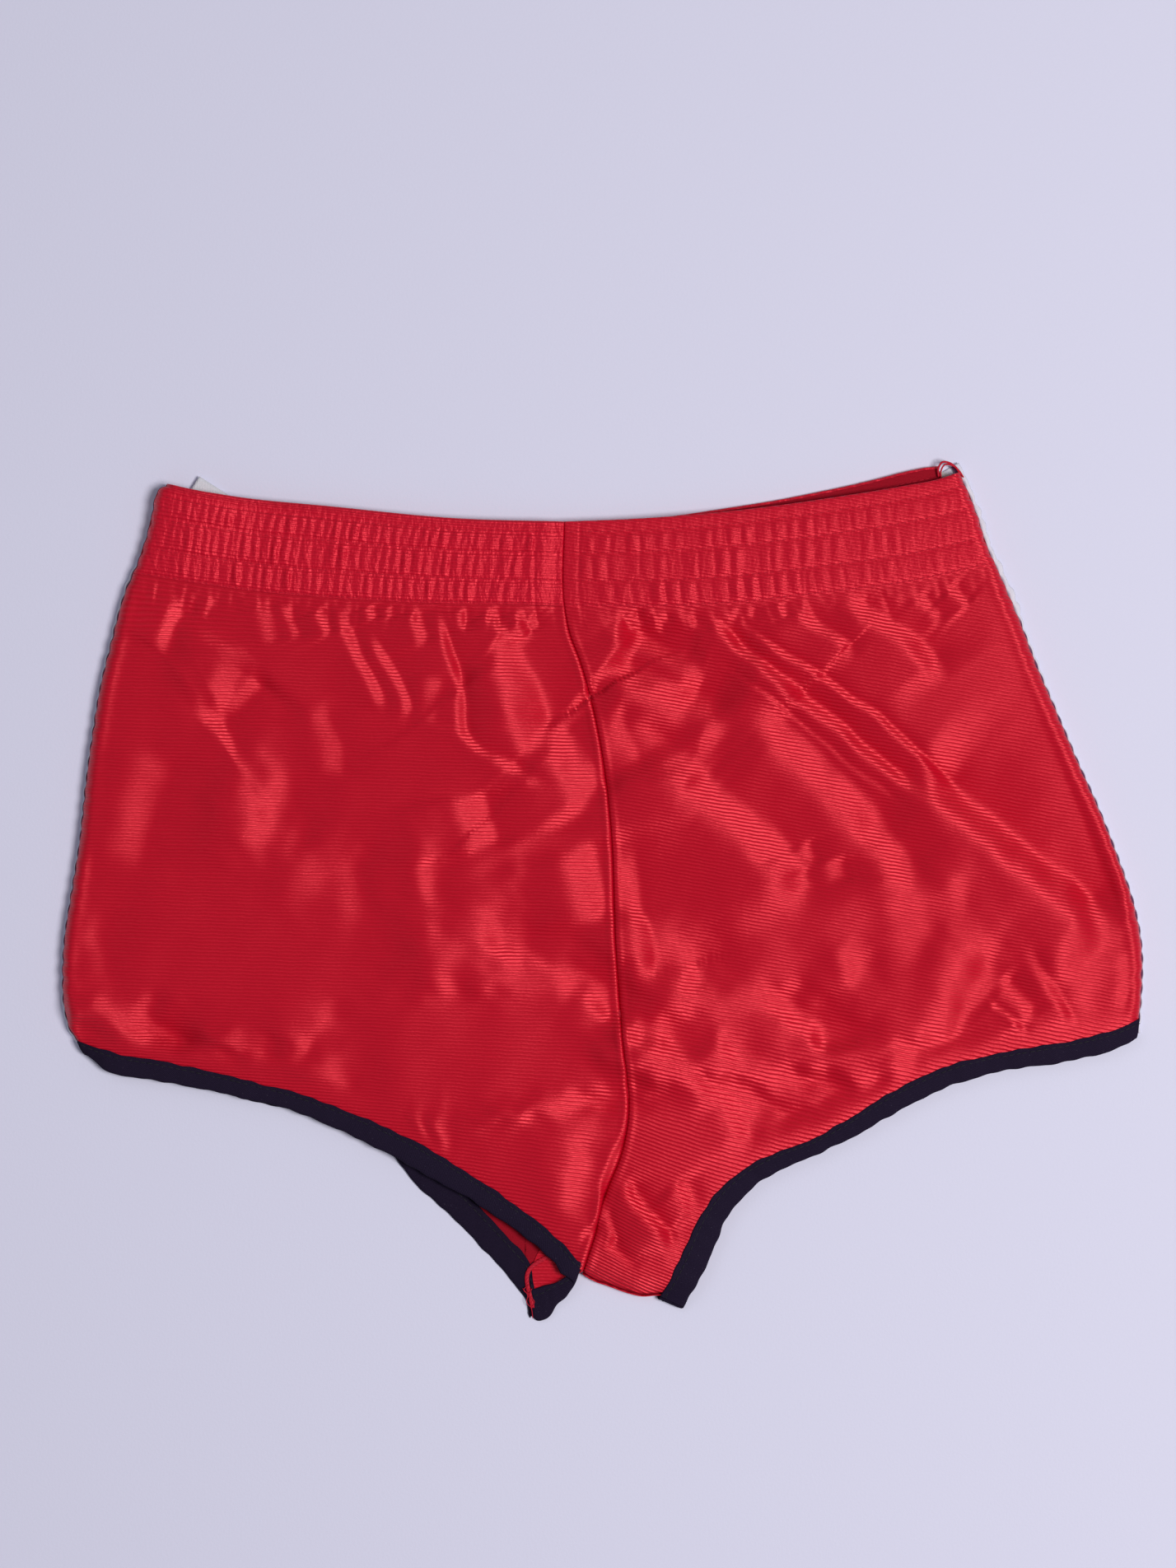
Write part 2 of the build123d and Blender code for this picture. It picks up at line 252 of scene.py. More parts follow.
def add_fold(place, height, path, half_width, slope, reach=3.6, tail=0.22):
    """Adds one fold as its lit flank: the cloth falls across the path towards its left, with the
    given slope, and climbs back slowly on both sides. It fades over the tail fraction at its ends."""
    far = 3.0 * reach * half_width
    path = np.array(path, float)
    near = np.all((place > path.min(0) - far) & (place < path.max(0) + far), axis=-1)
    if not near.any():
        return
    away, where = distance_to(place[near], path)
    away = away / half_width
    tail = min(tail, LONGEST_TAIL / step_lengths(path).sum())
    profile = bend(away + 1, CREST) - bend(away - 1, CREASE) + SINK
    ends = ease(where / tail) * ease((1 - where) / tail) * ease(2 - 2 * np.abs(away) * half_width / far)
    reach = np.where(away > 0, min(reach, VALLEY if half_width < NARROW else reach), reach)
    height[near] -= slope * half_width * profile * np.exp((1 - np.sqrt(away**2 + 1)) / reach) * ends


def turned(place, angle):
    """The two coordinates of each place along and across a direction."""
    return (place[..., 0] * math.cos(angle) + place[..., 1] * math.sin(angle),
            place[..., 1] * math.cos(angle) - place[..., 0] * math.sin(angle))


def add_patch(place, height, centre, size, slope, turn=0.0):
    """Tilts the cloth towards the light within a soft oval, with its two radii in size."""
    offset = place - np.array(centre)
    along, across = turned(offset, math.radians(turn))
    oval = np.exp(-((along / size[0])**2 + (across / size[1])**2))
    height -= slope * (offset @ np.array(LIT_SIDE)) * oval


def ripple(place, wave, rise, seed, count=14):
    """Gentle unevenness of cloth: a sum of waves in many directions."""
    draw = np.random.default_rng(seed)
    total = np.zeros(place.shape[:-1])
    for _ in range(count):
        angle = draw.uniform(0, math.pi)
        length = wave * draw.uniform(0.6, 1.8)
        phase = draw.uniform(0, FULL_TURN)
        total += np.sin(turned(place, angle)[0] * FULL_TURN / length + phase)
    return rise * total / math.sqrt(count)


def shaken(place, wave, reach, seed):
    """Plan places moved a little to and fro, so that nothing drawn on them runs quite straight."""
    return place + np.stack([ripple(place, wave, reach, seed), ripple(place, wave, reach, seed + 1)], axis=-1)


# ---- meshes ------------------------------------------------------------------------------------
def settle(mesh):
    """Lifts whatever would sink into the surface that the object lies on."""
    places = np.zeros(len(mesh.vertices) * 3, np.float32)
    mesh.vertices.foreach_get("co", places)
    places[2::3] = np.maximum(places[2::3], REST_LEVEL * MM)
    mesh.vertices.foreach_set("co", places)
    mesh.update()


def new_object(name, data):
    thing = bpy.data.objects.new(name, data)
    bpy.context.scene.collection.objects.link(thing)
    return thing


def make_piece(name, vertices, faces, material, replaced, body=GARMENT, weave=None):
    """One piece from vertices in mm, standing for the CAD node in replaced."""
    mesh = bpy.data.meshes.new(name)
    mesh.from_pydata((np.asarray(vertices) * MM).tolist(), [], faces)
    settle(mesh)
    if weave is not None:
        layer = mesh.attributes.new("weave", "FLOAT_VECTOR", "POINT")
        layer.data.foreach_set("vector", np.asarray(weave, np.float32).ravel())
        grain = mesh.uv_layers.new(name="grain")
        corners = np.zeros(len(mesh.loops), np.int32)
        mesh.loops.foreach_get("vertex_index", corners)
        across_along = np.asarray(weave)[corners][:, 1::-1] * MM
        grain.data.foreach_set("uv", across_along.astype(np.float32).ravel())
    mesh.polygons.foreach_set("use_smooth", [True] * len(mesh.polygons))
    mesh.materials.append(material)
    mesh.update()
    piece = new_object(name, mesh)
    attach(piece, body)
    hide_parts(replaced)
    return piece


def grid_faces(rows, columns, wrap=False):
    """Quads of a grid of vertices, with the last row joined to the first when wrap is true."""
    faces = []
    for r in range(rows if wrap else rows - 1):
        below = (r + 1) % rows
        for c in range(columns - 1):
            faces.append((r * columns + c, below * columns + c, below * columns + c + 1, r * columns + c + 1))
    return faces


def ring_faces(rings, sides, first=0):
    """Quads between rings of vertices that lie one after another, and the faces that close the ends."""
    last = first + (rings - 1) * sides
    faces = []
    for start in range(first, last, sides):
        for s in range(sides):
            a, b = start + s, start + (s + 1) % sides
            faces.append((a, b, b + sides, a + sides))
    return faces + [tuple(range(first, first + sides))[::-1], tuple(range(last, last + sides))]


def turned_over(faces):
    return [face[::-1] for face in faces]


def joined(parts):
    """Several vertex and face lists as one."""
    vertices, faces = [], []
    for some, its_faces in parts:
        first = len(vertices)
        vertices.extend(some)
        faces.extend(tuple(first + i for i in face) for face in its_faces)
    return vertices, faces


def thicken(piece, thickness, offset=-1.0, inside=None):
    """Gives a sheet its thickness, on the side away from its normals, and that side its material."""
    solidify = piece.modifiers.new("thickness", "SOLIDIFY")
    if inside:
        piece.data.materials.append(inside)
        solidify.material_offset = 1
    solidify.thickness = thickness * MM
    solidify.offset = offset
    bpy.context.view_layer.objects.active = piece
    with bpy.context.temp_override(object=piece, active_object=piece):
        bpy.ops.object.modifier_apply(modifier=solidify.name)
    settle(piece.data)


# ---- materials ---------------------------------------------------------------------------------
class Nodes:
    """A material's node tree, with short ways to add and join nodes."""

    def __init__(self, name, color, roughness, **settings):
        self.material = bpy.data.materials.new(name)
        self.material.use_nodes = True
        self.tree = self.material.node_tree
        self.shader = self.tree.nodes["Principled BSDF"]
        self.shader.inputs["Base Color"].default_value = (*color, 1)
        self.shader.inputs["Roughness"].default_value = roughness
        for socket, value in settings.items():
            self.feed(self.shader, socket.replace("_", " "), value)

    def feed(self, node, socket, value):
        """Gives a socket, known by its name or number, a value or what another node puts out."""
        if isinstance(value, bpy.types.NodeSocket):
            self.tree.links.new(value, node.inputs[socket])
        else:
            node.inputs[socket].default_value = value

    def add(self, kind, *numbered, **named):
        node = self.tree.nodes.new(kind)
        for number, value in enumerate(numbered):
            self.feed(node, number, value)
        for socket, value in named.items():
            self.feed(node, socket.replace("_", " "), value)
        return node

    def math(self, operation, *values):
        node = self.add("ShaderNodeMath", *values)
        node.operation = operation
        return node.outputs[0]

    def wave(self, place, pitch):
        """A sine wave that repeats every pitch."""
        return self.math("SINE", self.math("MULTIPLY", place, FULL_TURN / pitch))

    def weave(self):
        """The cloth's own coordinates: all three, mm along the ribs, mm across them, and how much
        the cloth is gathered, which also lightens the satin as painted sheen, or, on the stripes, how much
        painted shade their seam edge gets."""
        node = self.add("ShaderNodeAttribute")
        node.attribute_name = "weave"
        split = self.add("ShaderNodeSeparateXYZ", node.outputs["Vector"])
        return node.outputs["Vector"], *split.outputs

    def place(self):
        return self.add("ShaderNodeTexCoord").outputs["Object"]

    def noise(self, vector, stretch, detail=2.0):
        """Noise whose grain is finer the larger the three numbers in stretch."""
        stretched = self.add("ShaderNodeVectorMath", vector, stretch)
        stretched.operation = "MULTIPLY"
        node = self.add("ShaderNodeTexNoise", Vector=stretched.outputs[0], Scale=1.0, Detail=detail)
        return node.outputs["Fac"]

    def ramp(self, factor, low, high, start=0.0, end=1.0):
        ends = dict(From_Min=start, From_Max=end, To_Min=low, To_Max=high)
        return self.add("ShaderNodeMapRange", Value=factor, **ends).outputs["Result"]

    def mix(self, factor, low, high):
        node = self.add("ShaderNodeMix")
        node.data_type = "RGBA"
        self.feed(node, "Factor", factor)
        for socket, value in ((6, low), (7, high)):
            self.feed(node, socket, value if isinstance(value, bpy.types.NodeSocket) else (*value, 1))
        return node.outputs[2]

    def bump(self, height, distance):
        node = self.add("ShaderNodeBump", Height=height, Distance=distance * MM, Strength=1.0)
        self.feed(self.shader, "Normal", node.outputs["Normal"])


def satin():
    """Red tricot satin: glossy, with fine raised ribs across and a fibrous grain along them. Its colour
    carries painted shade in the rib grooves and painted sheen on the gathered waistband.
    """
    m = Nodes("red_satin", (0.62, 0.002, 0.022), 0.5,
              Metallic=0.28, Specular_IOR_Level=0.42, Anisotropic=0.75)
    across_ribs = m.add("ShaderNodeTangent")
    across_ribs.direction_type = "UV_MAP"
    across_ribs.uv_map = "grain"
    m.feed(m.shader, "Tangent", across_ribs.outputs["Tangent"])
    vector, _, across, gathers = m.weave()
    wobble = m.ramp(m.noise(vector, (0.12, 0.12, 1)), -0.5, 0.5)
    rib = m.wave(m.math("ADD", across, wobble), RIB_PITCH)
    grain = m.noise(vector, (0.9, 3.2, 1), 3.0)
    fleck = m.noise(vector, (2.6, 2.6, 1), 1.0)
    crinkle = m.noise(vector, (0.55, 0.22, 1), 3.0)
    raised = m.math("MULTIPLY_ADD", grain, 0.6, m.math("MULTIPLY", rib, 0.72))
    m.bump(m.math("MULTIPLY_ADD", m.math("MULTIPLY", crinkle, 3.4), gathers, raised), 0.20)
    # The rib wave also shades the colour: painted shade in the grooves and painted light on the ribs; the
    # flecks add random tone.
    tone = m.math("ADD", m.math("MULTIPLY", rib, 0.30), m.ramp(fleck, 0.1, 0.9))
    # Painted sheen: the gathered waistband's colour is made lighter, standing in for the shine of its
    # puckers.
    tone = m.math("MULTIPLY_ADD", gathers, 0.45, tone)
    m.feed(m.shader, "Base Color", m.mix(tone, (0.57, 0.001, 0.015), (0.74, 0.003, 0.028)))
    m.feed(m.shader, "Roughness", m.ramp(grain, 0.40, 0.50, 0.3, 0.7))
    return m.material


def satin_inside_and_shade():
    """The wrong side of the body cloth: dull and darker, with the same ribs. It is also put on the back
    casing's inner layer, whose visible face is the satin's right side lying in shade, as painted shade.
    """
    m = Nodes("red_satin_wrong_side_and_painted_shade", (0.30, 0.001, 0.012), 0.75, Specular_IOR_Level=0.12)
    vector, _, across, _ = m.weave()
    grain = m.noise(vector, (2, 2, 1), 3.0)
    m.bump(m.math("MULTIPLY_ADD", grain, 0.8, m.math("MULTIPLY", m.wave(across, RIB_PITCH), 0.3)), 0.15)
    m.feed(m.shader, "Base Color", m.mix(grain, (0.22, 0.001, 0.008), (0.38, 0.002, 0.016)))
    return m.material


def tricot():
    """White knitted tape of the side stripes, a little soiled, with painted shade along its seam to the
    front.
    """
    m = Nodes("white_tricot", (0.74, 0.73, 0.80), 0.7, Sheen_Weight=0.2)
    place = m.place()
    m.bump(m.noise(place, (1400, 1400, 1400)), 0.2)
    white = m.mix(m.noise(place, (60, 60, 60), 3.0), (0.60, 0.58, 0.70), (0.82, 0.81, 0.86))
    # Painted shade: a dark purple line along the seam to the front, where the red edge shades the stripe.
    m.feed(m.shader, "Base Color", m.mix(m.weave()[3], white, (0.09, 0.005, 0.07)))
    return m.material


def twill():
    """Black bias tape: a diagonal weave with pale specks of lint."""
    m = Nodes("black_twill", (0.010, 0.007, 0.017), 0.8, Specular_IOR_Level=0.06)
    vector, along, across, _ = m.weave()
    lines = m.wave(m.math("ADD", along, across), 0.85)
    threads = m.noise(vector, (2.2, 2.2, 1))
    m.bump(m.math("MULTIPLY_ADD", lines, 0.4, threads), 0.12)
    lint = m.ramp(m.noise(vector, (1.1, 1.1, 1), 4.0), 0.0, 1.0, 0.66, 0.78)
    ground = m.mix(threads, (0.006, 0.003, 0.012), (0.022, 0.014, 0.036))
    m.feed(m.shader, "Base Color", m.mix(lint, ground, (0.06, 0.05, 0.08)))
    m.feed(m.shader, "Roughness", m.ramp(threads, 0.62, 0.85))
    return m.material


def yarn(name, low, high):
    """Spun thread: a twist of fine light and dark fibres."""
    m = Nodes(name, low, 0.65, Specular_IOR_Level=0.25)
    fibre = m.noise(m.place(), (3000, 3000, 3000))
    m.bump(fibre, 0.1)
    m.feed(m.shader, "Base Color", m.mix(fibre, low, high))
    return m.material


def ribbon_material(name, low, high, pitch):
    """Woven narrow fabric: label ribbon or elastic, with fine crosswise ribs."""
    m = Nodes(name, low, 0.65, Sheen_Weight=0.15)
    place = m.place()
    rib = m.wave(m.add("ShaderNodeSeparateXYZ", place).outputs["X"], pitch * MM)
    fibre = m.noise(place, (1800, 1800, 1800))
    m.bump(m.math("MULTIPLY_ADD", rib, 0.3, fibre), 0.1)
    m.feed(m.shader, "Base Color", m.mix(fibre, low, high))
    return m.material


RED = satin()
RED_INSIDE_AND_SHADE = satin_inside_and_shade()
WHITE = tricot()
BLACK = twill()
RED_THREAD = yarn("red_thread", (0.40, 0.002, 0.016), (0.58, 0.005, 0.03))
DARK_THREAD = yarn("dark_thread", (0.004, 0.003, 0.007), (0.016, 0.013, 0.024))
WHITE_THREAD = yarn("white_thread", (0.62, 0.61, 0.64), (0.85, 0.85, 0.86))
LABEL = ribbon_material("label_ribbon", (0.58, 0.58, 0.64), (0.80, 0.80, 0.86), 0.5)
ELASTIC = ribbon_material("woven_elastic", (0.58, 0.57, 0.54), (0.80, 0.79, 0.76), 1.1)

# ---- the waistband's shirring ------------------------------------------------------------------
ROWS = (0.13, 0.37, 0.70, 0.98)        # where each row of stitches runs across the band
SWELLS = (0.2, 1.0, 1.1, 1.1)          # how high the cloth swells between one row and the next
FLAT_ZONE = (-12.0, 6.6)               # ungathered cloth beside the centre seam, in mm from it
FARTHEST = 190                         # beyond the band's ends, in mm from the centre seam


def pucker_phase(across, seed):
    """A running phase along the band: close puckers at the wearer's right, wider ones at the left."""
    draw = np.random.default_rng(seed)
    at = np.linspace(-FARTHEST, FARTHEST, 96)
    pitch = np.interp(at, (-170, -60, -10, 40, 170), (3.9, 4.3, 5.6, 6.6, 5.2))
    pitch = pitch * draw.uniform(0.78, 1.25, len(at))
    return np.interp(across, at, np.r_[0, np.cumsum(np.diff(at) / pitch[1:])]) * math.pi


def gathered(across, down):
    """Height of the shirred band, where across is mm from the centre seam and down is 0 to 1."""
    height = np.zeros_like(across)
    still = ease((np.abs(across - sum(FLAT_ZONE) / 2) - np.ptp(FLAT_ZONE) / 2 + 0.6) / 1.6)
    for channel, (start, end) in enumerate(zip((0.0,) + ROWS, ROWS)):
        t = (down - start) / (end - start)
        slant = np.where(across < 0, 1.6, -0.8) * (t - 0.5)
        draw = np.random.default_rng(40 + channel)
        knots = np.linspace(-FARTHEST, FARTHEST, 120)
        vigour = draw.uniform(0.05, 1.1, len(knots)) * draw.uniform(0.3, 1.0, len(knots))
        vigour = np.interp(across, knots, vigour) + 0.22 * (across < 0)
        vigour = vigour * np.interp(across, (-172, -140, 90, 140), (0.25, 1, 1, 0.3))
        crest = np.abs(np.sin(pucker_phase(across + slant, 7 + channel))) ** 0.8
        swell = np.sin(math.pi * np.clip(t, 0, 1)) ** 0.6 * SWELLS[channel]
        height += np.where((t > 0) & (t < 1), (0.25 + crest * vigour * still) * swell, 0)
    for row in ROWS:
        height -= 0.22 * hump((down - row) * BAND_DEPTH, 0.8)
    for line in FLAT_ZONE:
        height -= 0.25 * hump(across - line, 0.5)
    return height


# ---- the front's folds, in mm ------------------------------------------------------------------
FOLD_BREADTH = 1.3     # how much broader and steeper the folds are made than they are listed
FOLD_STEEPNESS = 1.15
PATCH_BREADTH = 1.7    # the same for the patches
PATCH_STEEPNESS = 0.95
LEAST_LEAN = 0.3       # folds that hardly face the light are not steepened beyond this
# path of each lit flank, its half width and its slope
FRONT_FOLDS = [
    # the wearer's right, under the band
    ([(-172, 124), (-177, 114), (-181, 106), (-185, 98)], 3.0, 0.36),
    ([(-168, 126), (-171, 115)], 1.0, 0.30), ([(-161, 123), (-165, 113)], 1.2, 0.28),
    ([(-149, 100), (-156, 90), (-160, 82), (-169, 74)], 4.4, 0.34),
    ([(-139, 93), (-147, 85), (-154, 78), (-163, 73)], 3.4, 0.38),
    ([(-142, 121), (-138, 111), (-136, 102)], 2.6, 0.24),
    ([(-131, 121), (-129, 112), (-126, 104)], 1.9, 0.30),
    ([(-118, 119), (-115, 112), (-112, 106)], 1.9, 0.38),
    ([(-109, 121), (-106, 110), (-102, 100), (-98, 92), (-92, 82), (-88, 73)], 1.9, 0.46),
    ([(-98, 108), (-92, 100), (-87, 92), (-83, 84), (-81, 76), (-84, 69)], 1.9, 0.40),
    ([(-97, 119), (-94, 112)], 1.8, 0.34), ([(-89, 119), (-87, 113)], 1.4, 0.26),
    ([(-78, 118), (-76, 110), (-73, 102)], 2.1, 0.38), ([(-58, 118), (-57, 108)], 2.0, 0.36),
    ([(-68, 120), (-66, 110), (-64, 102), (-60, 92), (-58, 82), (-58.5, 72), (-57, 65), (-52, 60),
      (-44, 56), (-36, 51), (-28, 46), (-18, 42)], 1.8, 0.50),
    ([(-48, 104), (-41, 96), (-35, 86), (-32, 76), (-29, 66), (-21, 58)], 6.4, 0.34),
    ([(-25, 66), (-15, 57), (-9, 47), (-2, 36)], 7.0, 0.33),
    ([(-48, 118), (-44, 112), (-39, 107)], 2.5, 0.30), ([(-35, 118), (-33, 112), (-30, 105)], 1.7, 0.42),
    ([(-29, 116), (-26, 108)], 1.5, 0.34), ([(-70, 92), (-71, 80), (-74, 68)], 3.4, 0.22),
    ([(-56, 43), (-54, 34), (-50, 24), (-48, 16)], 5.2, 0.32),
    ([(-120, 80), (-117, 70), (-113, 60), (-113, 44)], 4.0, 0.20),
    ([(-184, 64), (-187, 50), (-192, 38), (-196, 26), (-201, 8)], 6.5, 0.22),
    # beside the centre seam
    ([(0, 80), (4, 67), (9, 55), (12, 42)], 5.0, 0.28),
    ([(7, 22), (10, 8), (12, -5), (16, -20), (17, -34), (21, -43)], 3.8, 0.34),
    ([(-12, 22), (-8, 8), (-5, -4), (-3, -16)], 6.0, 0.34),
    # the wearer's left, under the band
    ([(2, 114), (8, 108), (14, 104), (20, 101), (30, 97), (43, 93)], 3.2, 0.34),
    ([(12, 117), (16, 110)], 1.5, 0.26), ([(26, 117), (23, 107)], 1.8, 0.28),
    ([(30, 118), (38, 111), (46, 107)], 1.6, 0.24), ([(55, 119), (55, 112)], 1.3, 0.30),
    ([(62, 119), (61, 113)], 1.3, 0.26), ([(74, 121), (76, 114)], 1.5, 0.30),
    ([(-2, 92), (15, 86), (30, 80), (45, 75), (56, 70)], 5.0, 0.34),
    ([(60, 78), (67, 69), (75, 62), (85, 53), (95, 44), (104, 34), (112, 24), (119, 14), (126, 4),
      (132, -5)], 6.0, 0.36),
    ([(8, 66), (20, 58), (32, 50), (42, 41), (50, 34), (62, 24), (70, 16), (76, 8), (80, -1),
      (84, -11)], 6.2, 0.34),
    ([(42, 116), (56, 102), (66, 94), (78, 85), (90, 75), (103, 65), (115, 54), (127, 45),
      (138, 38)], 2.2, 0.66),
    ([(126, 52), (138, 43), (148, 35), (158, 27), (170, 17), (182, 7), (198, -6), (212, -18)], 5.2, 0.52),
    ([(56, 113), (72, 101), (84, 93), (95, 87), (107, 78), (118, 69), (128, 60), (140, 49),
      (150, 40)], 1.3, 0.56),
    ([(46, 96), (55, 90), (65, 84), (72, 79), (80, 72), (92, 62), (104, 52), (115, 43),
      (127, 34)], 0.8, 0.36), ([(82, 121), (86, 113), (92, 108), (99, 103), (105, 97)], 2.1, 0.38),
    ([(100, 124), (108, 116), (115, 111), (122, 107), (129, 102), (136, 95), (142, 87)], 3.1, 0.42),
    ([(130, 124), (136, 117), (141, 111)], 1.9, 0.26), ([(143, 127), (152, 119)], 2.2, 0.24),
    ([(82, 21), (87, 11)], 2.4, 0.30), ([(95, 16), (96, 3)], 3.4, 0.30),
    # the wearer's left, low down
    ([(163, -36), (171, -43), (179, -53)], 2.8, 0.34), ([(158, -43), (169, -51), (177, -59)], 1.1, 0.40),
    ([(174, -22), (182, -36), (190, -46), (196, -56)], 2.0, 0.34),
    ([(215, -22), (217, -38), (215, -50)], 3.0, 0.24),
    # the crotch
    ([(9, -94), (6, -104), (3, -112), (1, -120), (0, -128), (-2, -136), (-8, -142),
      (-10, -151)], 1.1, 0.75), ([(8, -117), (13, -126), (20, -134), (25, -140), (29, -148)], 2.1, 0.72),
    ([(1, -128), (3, -138), (6, -147)], 1.2, 0.60), ([(0, -143), (6, -150), (13, -158)], 1.7, 0.66),
    ([(30, -119), (36, -127), (40, -134)], 3.0, 0.36), ([(33, -134), (32, -146), (28, -158)], 2.6, 0.36),
]
# oval patches that tilt towards the light: centre, radii, slope, turn
FRONT_PATCHES = [
    ((-27, 74), (9, 13), 0.16, 25), ((-64, 88), (6, 9), 0.16, 0), ((-167, 92), (5, 12), 0.16, -15),
    ((-137, 46), (9, 15), 0.27, 0), ((-139, 26), (11, 10), 0.26, 0), ((-150, 38), (8, 5), 0.22, 0),
    ((-119, 9), (9, 9), 0.34, 0), ((-106, 14), (7, 7), 0.20, 0), ((-104, -3), (5, 6), 0.24, 0),
    ((-211, -20), (6, 10), 0.22, 0), ((-200, -54), (14, 6), 0.50, -8), ((-186, -61), (8, 4), 0.34, 0),
    ((-149, -62), (9, 3), 0.42, -12), ((-140, -67), (4, 4), 0.40, 0), ((-127, -65), (6, 3.5), 0.42, 12),
    ((-118, -54), (10, 6), 0.20, 0), ((-112, -73), (9, 6), 0.22, 0), ((-163, -68), (7, 3), 0.24, 0),
    ((-72, 8), (5, 12), 0.28, 0), ((-43, -16), (9, 9), 0.34, 0), ((-60, -24), (13, 11), 0.28, 0),
    ((-28, -34), (17, 7), 0.44, -6), ((-8, -39), (10, 5), 0.34, -10), ((0, -45), (7, 5), 0.38, 0),
    ((-33, 10), (4, 5), 0.18, 0), ((-65, -28), (6, 10), 0.22, 0), ((104, -29), (6, 6), 0.34, 0),
    ((124, -20), (7, 14), 0.26, 0), ((30, -28), (14, 9), 0.34, -20), ((42, -44), (15, 5), 0.40, -4),
    ((62, -46), (12, 5), 0.40, -6), ((81, -52), (13, 5.5), 0.46, -20), ((20, -66), (8, 7), 0.36, 0),
    ((31, -74), (13, 5.5), 0.44, -22), ((47, -81), (12, 5), 0.38, -22), ((64, -87), (14, 4), 0.32, -12),
    ((52, -64), (6, 5), 0.26, 0), ((66, -75), (20, 4), 0.28, -10), ((110, -80), (6, 3.5), 0.34, -30),
    ((125, -74), (5, 5), 0.28, 0), ((120, -64), (14, 3), 0.20, 6), ((145, 5), (6, 11), 0.24, 0),
    ((133, -5), (6, 9), 0.18, 0), ((152, -31), (12, 9), 0.38, -10), ((143, -50), (8, 8), 0.24, 0),
    ((196, -38), (9, 12), 0.18, 0), ((-10, -115), (8, 17), 0.30, 0), ((-18, -88), (17, 3), 0.24, 8),
    ((-74, -98), (2.5, 5), 0.34, 0), ((-66, -101), (2.2, 7), 0.34, 0), ((57, -100), (5, 6), 0.22, 0),
    ((70, -30), (10, 10), 0.12, 0),
]


def loose_gathers(place, height, row, seed, inward):
    """Short folds that run out of the last row of stitches into the loose cloth."""
    draw = np.random.default_rng(seed)
    line = spread(row, 400)
    margin = 4.0
    at = margin
    total = np.linalg.norm(line[-1] - line[0])
    while at < total - margin:
        start = line[int(at / total * 400)]
        if FLAT_ZONE[0] < start[0] - CENTRE_X < FLAT_ZONE[1]:
            at += 3
            continue
        length = draw.uniform(5, 15)
        drift = (draw.uniform(-0.25, 0.25) + inward) * length
        path = start + np.array([(0, 2.5), (drift * 0.5, -length * 0.45), (drift, -length)])
        add_fold(place, height, path, draw.uniform(0.8, 1.5), draw.uniform(0.14, 0.40), tail=0.45)
        at += draw.uniform(3.6, 7.0)


# ---- the care label's place --------------------------------------------------------------------
LABEL_SEWN = np.array([-139.4, 141.9])     # middle of its sewn end
LABEL_TURN = math.radians(-32.7)           # from +X to the way from its free end to its sewn end
LABEL_LENGTH = 40.0
LABEL_HALF_WIDTH = 11.0
BED_LEVEL = 1.65                           # inner face of the back's casing under the label
LABEL_ROOM = 3.0                           # how far the front's casing stands off for the label's bend
LABEL_WAY = np.array([math.cos(LABEL_TURN), math.sin(LABEL_TURN)])
LABEL_LEFT = np.array([-LABEL_WAY[1], LABEL_WAY[0]])


def label_reach(place):
    """How far each plan place lies along the label from its sewn end, and off its middle line."""
    offset = place - LABEL_SEWN
    return -(offset @ LABEL_WAY), np.abs(offset @ LABEL_LEFT)


def label_room(place):
    """How far the front's waistband stands up over the label, so that the label can bend."""
    along, aside = label_reach(place)
    return LABEL_ROOM * ease((along - 4) / 32) * hump(aside, 24)


def label_bed(place):
    """1 where the label presses the back's casing flat, 0 away from it."""
    along, aside = label_reach(place)
    return ease((along - 1) / 12) * ease((LABEL_LENGTH + 12 - along) / 8) * ease((20 - aside) / 7)


# ---- panels ------------------------------------------------------------------------------------
BAND_ROWS = 44
INNER_ROWS = 10        # rows of the casing's inner layer in the front panels
TURN_ROWS = 4          # rows of its turn at the waist
TURN_RADIUS = (CASING_GAP + CLOTH) / 2
SIDE_ROLL = 5.5        # radius with which the front rolls down to its sides
CROWN = 0.6            # how much higher the front lies towards its middle
RAW_EDGE = 0.12        # where the panels end inside a leg binding, as a share of its width
BACK_INSET = 8.6       # how far inside the garment's sides the back panels end
SCALLOP = 0.6          # how far a side bulges between its seam's stitches
SCALLOP_PITCH = 6.2


def part_way(first, second, share, count):
    """The line that lies a share of the way from one curve to another."""
    return (1 - share) * spread(first, count) + share * spread(second, count)


def between(points, start, end, count):
    """The stretch of a smooth curve from the place nearest start to the place nearest end."""
    dense = spread(points, 1200)
    ends = [np.argmin(np.hypot(*(dense - np.array(p)).T)) for p in (start, end)]
    return spread(dense[np.linspace(*ends, 60).round().astype(int)], count)


def beside(points, distance):
    """A plan curve moved sideways by distance, to the left of the way it runs."""
    points = spread(points, 400)
    return points + distance * leftward(points)


def meeting(path, other):
    """The place on a curve that is nearest to another curve."""
    path, other = spread(path, 600), spread(other, 600)
    gaps = np.linalg.norm(path[:, None] - other[None], axis=-1)
    return path[np.unravel_index(np.argmin(gaps), gaps.shape)[0]]


def chained(parts, count):
    """count + 1 points along several curves joined end to end, with their corners kept sharp."""
    lengths = [step_lengths(spread(part, 60)).sum() for part in parts]
    shares = np.maximum(1, np.round(np.array(lengths) / sum(lengths) * count).astype(int))
    shares[-1] += count - shares.sum()
    runs = [spread(part, share) for part, share in zip(parts, shares)]
    return np.concatenate([runs[0]] + [run[1:] for run in runs[1:]])


